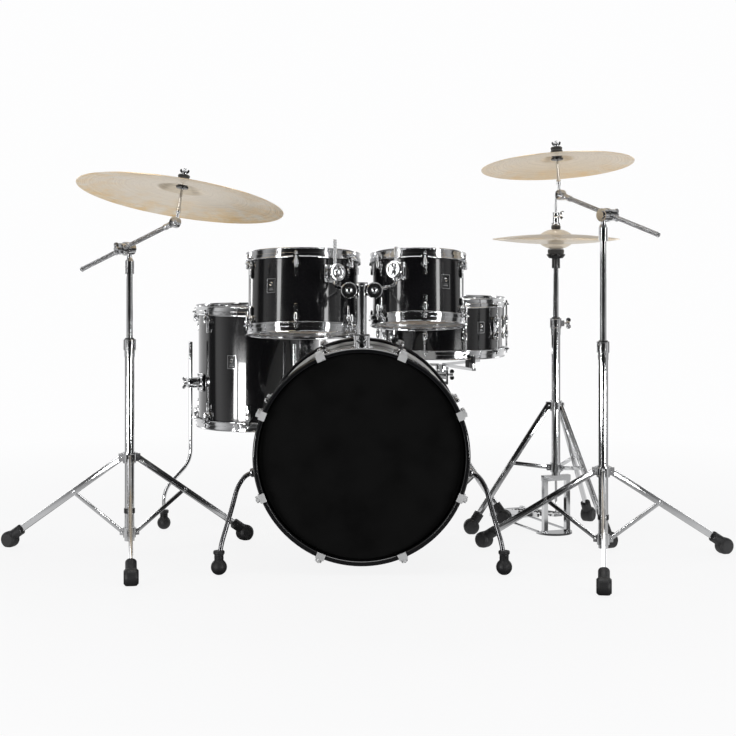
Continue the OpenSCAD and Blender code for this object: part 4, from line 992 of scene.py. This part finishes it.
for side in ("left", "right"):
    turned = joint(side + "_tilter_turn")
    v = Vector(joint(side + "_boom_slide")["axis"])
    arm = side + "_boom_arm"
    place = frame_at(turned["pos_m"], v)
    bm = bmesh.new()
    lathe(bm, rounded([(0, -BOOM_LEN - 4), (6.75, -BOOM_LEN - 4), (6.75, -BOOM_LEN), (6, -BOOM_LEN),
                       (6, -37), (0, -37)], 0.6), Matrix.Scale(MM, 4), 40)
    rod = piece(arm + "_rod", bm, KNURLED, arm, at=place)
    bm = bmesh.new()
    lathe(bm, rounded([(0, -37), (8, -37), (8, -30), (7, -28), (7, -24), (8, -22), (8, -16), (0, -16)],
                      0.6), place, 40)
    disc = frame_at(turned["pos_m"], turned["axis"])
    lathe(bm, rounded([(0, 0), (13.2, 0), (14, 0.8), (14, 7.6), (12.8, 9), (7, 9.1), (6, 9.1),
                       (5, 10.4), (0, 10.4)], 0.5), disc, 48)
    w = 4.5 * Vector((disc[0][2], disc[1][2], disc[2][2]))
    sweep(bm, [Vector(turned["pos_m"]) - 0.024 * v + w, Vector(turned["pos_m"]) + w],
          0.004, Matrix.Identity(4), 20)
    for k in range(36):
        tooth = moved(spun(disc, 10 * k), 13.7, 0, 1.0)
        block(bm, (1.0, 1.1, 1.6), tooth, 0.2)
    piece(arm + "_tilter", bm, CHROME, arm)
    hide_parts(arm)
    ratchet = joint(side + "_boom_tilt")
    clamp = frame_at(ratchet["pos_m"], ratchet["axis"])
    bm = bmesh.new()
    for k in range(40):
        block(bm, (1.2, 1.2, 1.6), moved(spun(clamp, 9 * k), 17.4, 0, -9.6), 0.2)
    ring_of_turn(bm, [(10, -18), (17.0, -18), (17.6, -18.6), (17.0, -19.4), (10, -19.4)], clamp, 48)
    piece(side + "_boom_clamp_teeth", bm, CHROME, side + "_boom_clamp")

# ---------- stand details ----------

# Height of the leg pivots and of the brace pivots, first leg's turn, reach, share of the leg's
# length where the brace meets it, height of the collar's top, and the mast's diameter
STANDS = {
    "left_stand": ("left_boom_tilt", 258, 62, -81, 370, 0.44, 568, 17.0),
    "right_stand": ("right_boom_tilt", 236, 62, -98, 370, 0.44, 568, 17.0),
    "hihat_stand": ("hihat_mast", 361, 187, 180, 246, 0.49, 607, 15.9),
    "snare_stand": ("snare_basket_tilt", 250, 60, 100, 195, 0.5, 352, 19.0),
}
HUB_R = 17.0


def stand_base(source):
    """Place on the floor under a stand's tube."""
    at = middle(source) if source == "hihat_mast" else joint(source)["pos_m"]
    return frame_at((at[0], at[1], 0), UP)


def leg_points(hub_z, low_z, reach, share):
    """Leg's pivot and end, and the brace's pivot and meeting point, in the leg's own upright plane."""
    top = Vector((HUB_R + 5, 0, hub_z))
    end = Vector((reach - 14, 0, 32))
    return top, end, Vector((HUB_R + 4, 0, low_z)), top.lerp(end, share)


for name, (source, hub_z, low_z, turn, reach, share, collar_z, mast) in STANDS.items():
    base = stand_base(source)
    top, _, low, meet = leg_points(hub_z, low_z, reach, share)
    bm = bmesh.new()
    rings = bmesh.new()
    for k in range(3):
        leg = spun(base, turn + 120 * k)
        for spot, half in ((top, 7.4), (low, 5.6), (meet, 6.2)):
            pin = spun(moved(leg, *spot), 90, "X")
            bolt(bm, pin, 4.2, half)
    if name != "hihat_stand":
        clip = low_z + 50
        ring_of_turn(rings, [(12.8, clip), (14.4, clip + 1), (14.4, clip + 13), (12.8, clip + 14)], base, 48)
    for low, high, r in ((collar_z - 27, collar_z - 25, 17.3), (collar_z - 3, collar_z - 1, 17.3),
                         (hub_z + 9, hub_z + 11, 17.8), (hub_z - 11, hub_z - 9, 17.8)):
        ring_of_turn(bm, [(13, low), (r - 0.5, low), (r, (low + high) / 2), (r - 0.5, high), (13, high)],
                     base, 48)
    piece(name + "_pins", bm, CHROME, "kit_base")
    half = mast / 2
    ring_of_turn(rings, [(half + 0.12, collar_z - 2), (half + 3.4, collar_z - 2),
                         (half + 3.6, collar_z + 1.6),
                         (half + 2.6, collar_z + 3.2), (half + 0.12, collar_z + 3.2)], base, 48)
    piece(name + "_bushes", rings, MOULDED, "kit_base")

# ---------- hi-hat ----------

HAT_SHAPE = (26.0, 44.0, 14.0)
_, mast_hi = box("hihat_mast")
hat_axis = middle("hihat_mast")
upper_lo, upper_hi = box("hihat_upper_cymbal")
lower_lo, _ = box("hihat_lower_cymbal")
HAT_TOP = upper_hi.z / MM
HAT_LOW = lower_lo.z / MM


def on_hat_axis(z=0.0):
    return frame_at((hat_axis.x, hat_axis.y, z * MM), UP)


hat_r = (upper_hi.x - upper_lo.x) / MM / 2 - 0.05
cymbal("hihat_upper_cymbal", on_hat_axis(HAT_TOP), hat_r, *HAT_SHAPE, "hihat_pull")
cymbal("hihat_lower_cymbal", on_hat_axis(HAT_LOW), hat_r, *HAT_SHAPE, "hihat_mast", upturned=True)

base = on_hat_axis()
bm = bmesh.new()
ring_of_turn(bm, [(4.5, 447), (7.95, 447), (7.95, 752), (4.5, 752)], base, 48)
mast = piece("hihat_mast_tube", bm, CHROME, "hihat_mast")
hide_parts("hihat_mast")
bm = bmesh.new()
ring_of_turn(bm, [(4.5, 748), (11, 748), (11.5, 750), (11.5, 775), (12.5, 776), (19.5, 776.5),
                  (25.5, 784), (26, 785.5), (26, 787), (25, 788), (4.5, 788)], base, 64)
piece("hihat_seat_cup", bm, MOULDED, "hihat_mast")
felt_washer("hihat_seat_felt", base, 788.1, mast_hi.z / MM, 22.6, 4.6, "hihat_mast")

bm = bmesh.new()
lathe(bm, rounded([(0, 92), (3.5, 92), (3.5, 944), (2.8, 945), (0, 945)], 0.4), base, 32)
lathe(bm, rounded([(0, HAT_TOP + 12.2), (12.6, HAT_TOP + 12.2), (13, HAT_TOP + 13), (13, HAT_TOP + 17),
                   (12, HAT_TOP + 18.2), (9.5, HAT_TOP + 18.4), (9.5, HAT_TOP + 33), (8.6, HAT_TOP + 34),
                   (8.6, HAT_TOP + 36), (9.5, HAT_TOP + 37), (9.5, HAT_TOP + 47), (8.6, HAT_TOP + 48),
                   (0, HAT_TOP + 48)], 0.5), base, 40)
lathe(bm, rounded([(0, HAT_TOP - 16), (8, HAT_TOP - 16), (8.5, HAT_TOP - 15), (8.5, HAT_TOP - 11),
                   (0, HAT_TOP - 11)], 0.4), base, 6)
wing_nut(bm, spun(moved(base, 9, 0, HAT_TOP + 40), 90, "Y"), 11, 5)
block(bm, (4, 3, 36), moved(base, 0, 0, 76), 0.8)
rod = piece("hihat_clutch", bm, CHROME, "hihat_pull")
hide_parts("hihat_pull_rod")
felt_washer("hihat_clutch_felt_high", base, HAT_TOP + 0.2, HAT_TOP + 12, 13, 3.6, "hihat_pull")
felt_washer("hihat_clutch_felt_low", base, HAT_TOP - 10.8, HAT_TOP - 1.8, 13, 3.6, "hihat_pull")

# ---------- snare basket ----------

ARM_TURNS = (294, 54, 174)
PRONG_R = 195.5
pivot = Vector(joint("snare_basket_tilt")["pos_m"])
snare_floor = frame_at((pivot.x, pivot.y, 0), UP)
bm = bmesh.new()
for turn in ARM_TURNS:
    arm = spun(snare_floor, turn)
    lathe(bm, rounded([(0, 477), (6.3, 477), (6.8, 479), (6.3, 482), (6.8, 485), (6.3, 488), (6.8, 491),
                       (6.4, 497), (4.6, 500.4), (0, 500.4)], 0.6), moved(arm, PRONG_R, 0, 0), 32)
    block(bm, (30, 12.8, 22.6), moved(arm, PRONG_R - 21.5, 0, 474.9), 1.6)
piece("snare_basket_rubbers", bm, RUBBER, "snare_basket")

# ---------- tom holder ----------

POST_R = 12.7
BALL_R = 12.0


def tom_arm(drum, name, turn, low, top):
    """Bent rod from its ball to the drum's bracket."""
    ball = Vector(joint(name.replace("_arm", "_tilt"))["pos_m"]) / MM
    p = (drum.at(turn, low, 25.0).translation) / MM
    q = (drum.at(turn, top, 25.0).translation) / MM
    path = filleted([ball, ball + Vector((0, 22, 0)), p, q], 16, 8)
    bm = bmesh.new()
    sweep(bm, path, 5.25, ROW, 28)
    rings = []
    for k in range(13):
        a = math.pi * (k / 12 - 0.5)
        rings.append((BALL_R * math.cos(a) if 0 < k < 12 else 0.0, BALL_R * math.sin(a)))
    lathe(bm, rings, moved(ROW, *ball), 32)
    made = piece(name + "_rod", bm, CHROME, name)
    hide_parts(name)


tom_arm(LEFT_TOM, "left_tom_arm", -59, 8, 133)
tom_arm(RIGHT_TOM, "right_tom_arm", -115, -3, 99)

for drum, turn, z in ((LEFT_TOM, -59, 44), (RIGHT_TOM, -115, 37)):
    body = drum.name
    m = drum.at(turn, z)
    bm = bmesh.new()
    bracket(bm, m, 25.0, (20, 24))
    knob = spun(moved(m, 35.5, 0, 0), 90, "Y")
    lathe(bm, rounded([(0, 0), (22, 0), (23.8, 1.6), (23.8, 5.6), (22, 7.2), (17, 7.6), (15, 5.4),
                       (9, 5.4), (7.5, 7.4), (0, 7.4)], 0.5), knob, 64)
    wing_nut(bm, moved(knob, 0, 0, 6.5), 15, 6)
    made = piece(body + "_clamp", bm, CHROME, body)
    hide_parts(body + "_bracket")

bm = bmesh.new()
_, post_hi = box("tom_post")
post = frame_at((bass_axis.x, joint("left_tom_tilt")["pos_m"][1], 0), UP)
liners = bmesh.new()
for dx in (-33, 33):
    ring = spun(moved(post, dx, 0, joint("left_tom_tilt")["pos_m"][2] / MM), 90, "X")
    ring_of_turn(bm, [(17.9, -10.4), (20, -10.4), (21, -9), (21, 9), (20, 10.4), (17.9, 10.4)], ring, 64)
    for end in (-1, 1):
        ring_of_turn(bm, [(15.4, 10.9 * end), (16, 12.6 * end), (18.6, 13 * end), (20.6, 11.6 * end),
                          (20.8, 10 * end), (18, 10 * end)], ring, 64)
        ring_of_turn(liners, [(10.2, 10.9 * end), (10.2, 11.8 * end), (15.5, 12.2 * end), (15.5, 10.9 * end)],
                     ring, 48)
for low in (post_hi.z / MM - 9, post_hi.z / MM - 4):
    ring_of_turn(bm, [(11, low), (15.2, low), (15.7, low + 1), (15.2, low + 2), (11, low + 2)], post, 48)
piece("tom_post_trim", bm, CHROME, "tom_post")
piece("tom_post_liners", liners, MOULDED, "tom_post")
bm = bmesh.new()
top = Vector((0, 0, (box("bass_brackets")[1].z) / MM))
ring_of_turn(bm, [(POST_R + 0.12, top.z - 1), (20.4, top.z - 1), (20.8, top.z + 1.5), (19, top.z + 3),
                  (POST_R + 0.12, top.z + 3)], post, 48)
piece("tom_post_bush", bm, MOULDED, "kit_base")

# ---------- tripod legs ----------


def leg_bar(bm, leg, a, b, width, thick):
    """Flat bar with rolled edges between two points of a leg's own upright plane."""
    a, b = Vector(a), Vector(b)
    d = b - a
    lie = Matrix.Rotation(math.atan2(d.x, d.z), 4, "Y")
    place = leg @ Matrix.Translation((a + b) / 2) @ lie
    block(bm, (width, thick, d.length), place, thick * 0.24)
    if thick > 6:
        for side in (1, -1):
            block(bm, (width * 0.42, 1.2, d.length - 40), moved(place, 0, side * (thick / 2 + 0.2), 0), 0.5)


bm = bmesh.new()
for source, hub_z, low_z, turn, reach, share, *_ in STANDS.values():
    base = stand_base(source)
    top, end, low, meet = leg_points(hub_z, low_z, reach, share)
    for k in range(3):
        leg = spun(base, turn + 120 * k)
        leg_bar(bm, leg, top, end, 17, 9)
        leg_bar(bm, leg, low, meet, 11, 4)
        for spot, r, half in ((top, 8.4, 4.4), (low, 5.6, 2.0), (meet, 6.4, 5.6)):
            eye = spun(moved(leg, *spot), 90, "X")
            lathe(bm, rounded([(0, -half), (r, -half), (r, half), (0, half)], 0.8), eye, 28)
legs = piece("stand_legs_rolled", bm, CHROME, "kit_base")
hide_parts("stand_legs")

# ---------- pedal ----------

PEDAL_REST = -25.0
BEATER_LEN = 195.0
BEATER_REST = 35.0

axle = Vector(joint("pedal_beater_turn")["pos_m"])
lean = math.radians(BEATER_REST)
shaft = Vector((0, math.sin(lean), math.cos(lean)))
face_dir = Vector((0, -math.cos(lean), math.sin(lean)))
beater = frame_at(axle + Vector((-0.016, 0, 0)) + BEATER_LEN * MM * shaft, face_dir)
bm = bmesh.new()
lathe(bm, [(0, -22.6), (15, -22.6), (21, -22), (24, -19.5), (25.4, -15), (25.6, -4), (25.4, 12), (24.6, 18),
           (22, 22), (16, 24.2), (0, 24.8)], beater, 56)
head = piece("beater_felt", bm, FELT_WHITE, "pedal_beater")
bm = bmesh.new()
lathe(bm, rounded([(0, -26), (9, -26), (9.5, -25), (9.5, -22), (0, -22)], 0.5), beater, 40)
clamp_at = frame_at(axle + Vector((-0.016, 0, 0)) + 0.030 * shaft, shaft)
lathe(bm, rounded([(4.1, -12), (8, -12), (8, 10), (6.5, 12), (4.1, 12)], 0.8), clamp_at, 32)
wing_nut(bm, spun(moved(clamp_at, 0, -8, 0), 90, "X"), 9, 4)
piece("beater_clamp", bm, CHROME, "pedal_beater")

chain_lo, chain_hi = box("pedal_chain")
mid_x, mid_y = (chain_lo.x + chain_hi.x) / 2, (chain_lo.y + chain_hi.y) / 2
PITCH = 9.0
links = int((chain_hi.z - chain_lo.z) / MM / PITCH) - 1
bm = bmesh.new()
for k in range(links):
    z = chain_lo.z / MM + PITCH * (k + 0.5)
    pin = frame_at((mid_x, mid_y, z * MM), (1, 0, 0), UP)
    lathe(bm, rounded([(0, -4.9), (1.5, -4.9), (1.5, -3), (2.5, -2.9), (2.5, 2.9), (1.5, 3), (1.5, 4.9),
                       (0, 4.9)], 0.2), pin, 18)
    out = 3.4 if k % 2 else 4.3
    plate = [(2.5 * math.cos(t), 2.5 * math.sin(t)) for t in (math.pi * (0.5 + j / 8) for j in range(9))]
    plate += [(PITCH - x, -y) for x, y in plate]
    for side in (1, -1):
        prism(bm, plate, min(side * out, side * (out - 0.8)), max(side * out, side * (out - 0.8)), pin, 0.15)
chain = piece("pedal_chain_links", bm, CHROME, "pedal_chain")
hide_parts("pedal_chain")

bm = bmesh.new()
COILS = 17
coil = [Vector((6.3 * math.cos(math.tau * k / 16), 6.3 * math.sin(math.tau * k / 16), 64 + 5.75 * k / COILS))
        for k in range(COILS * 16 + 1)]
sweep(bm, coil, 1.1, frame_at((bass_axis.x + 0.052, axle.y, 0), UP), 8)
piece("pedal_spring", bm, CHROME, "kit_base")

FOOTBOARDS = (
    ("pedal_footboard", "pedal_footboard_hinge", 1, PEDAL_REST, 22, (-70, -225)),
    ("hihat_footboard", "hihat_footboard_hinge", -1, -5.61, 24, (-50, -235)),
)
for body, name, across, rise, half, (near, far) in FOOTBOARDS:
    hinge = joint(name)
    axis = across * Vector(hinge["axis"])
    m = frame_at(hinge["pos_m"], UP, axis) @ Matrix.Rotation(math.radians(rise), 4, "X")
    bm = bmesh.new()
    count = 9
    for i in range(count):
        y = near + (far - near) * i / (count - 1)
        for x in (-half + 4, half - 4):
            lathe(bm, [(0, 4.9), (3.2, 4.9), (3.0, 5.9), (1.8, 6.7), (0, 6.9)], moved(m, x, y, 0), 16)
        block(bm, (16, 3.4, 1.6), moved(m, 0, y + 9, 5.6), 0.5)
    piece(body + "_tread", bm, MOULDED, body)

# ---------- heads ----------

for node in ("left_tom_heads", "right_tom_heads", "floor_tom_heads"):
    for m in NODES[node].material_slots:
        m.material = CLEAR_FILM
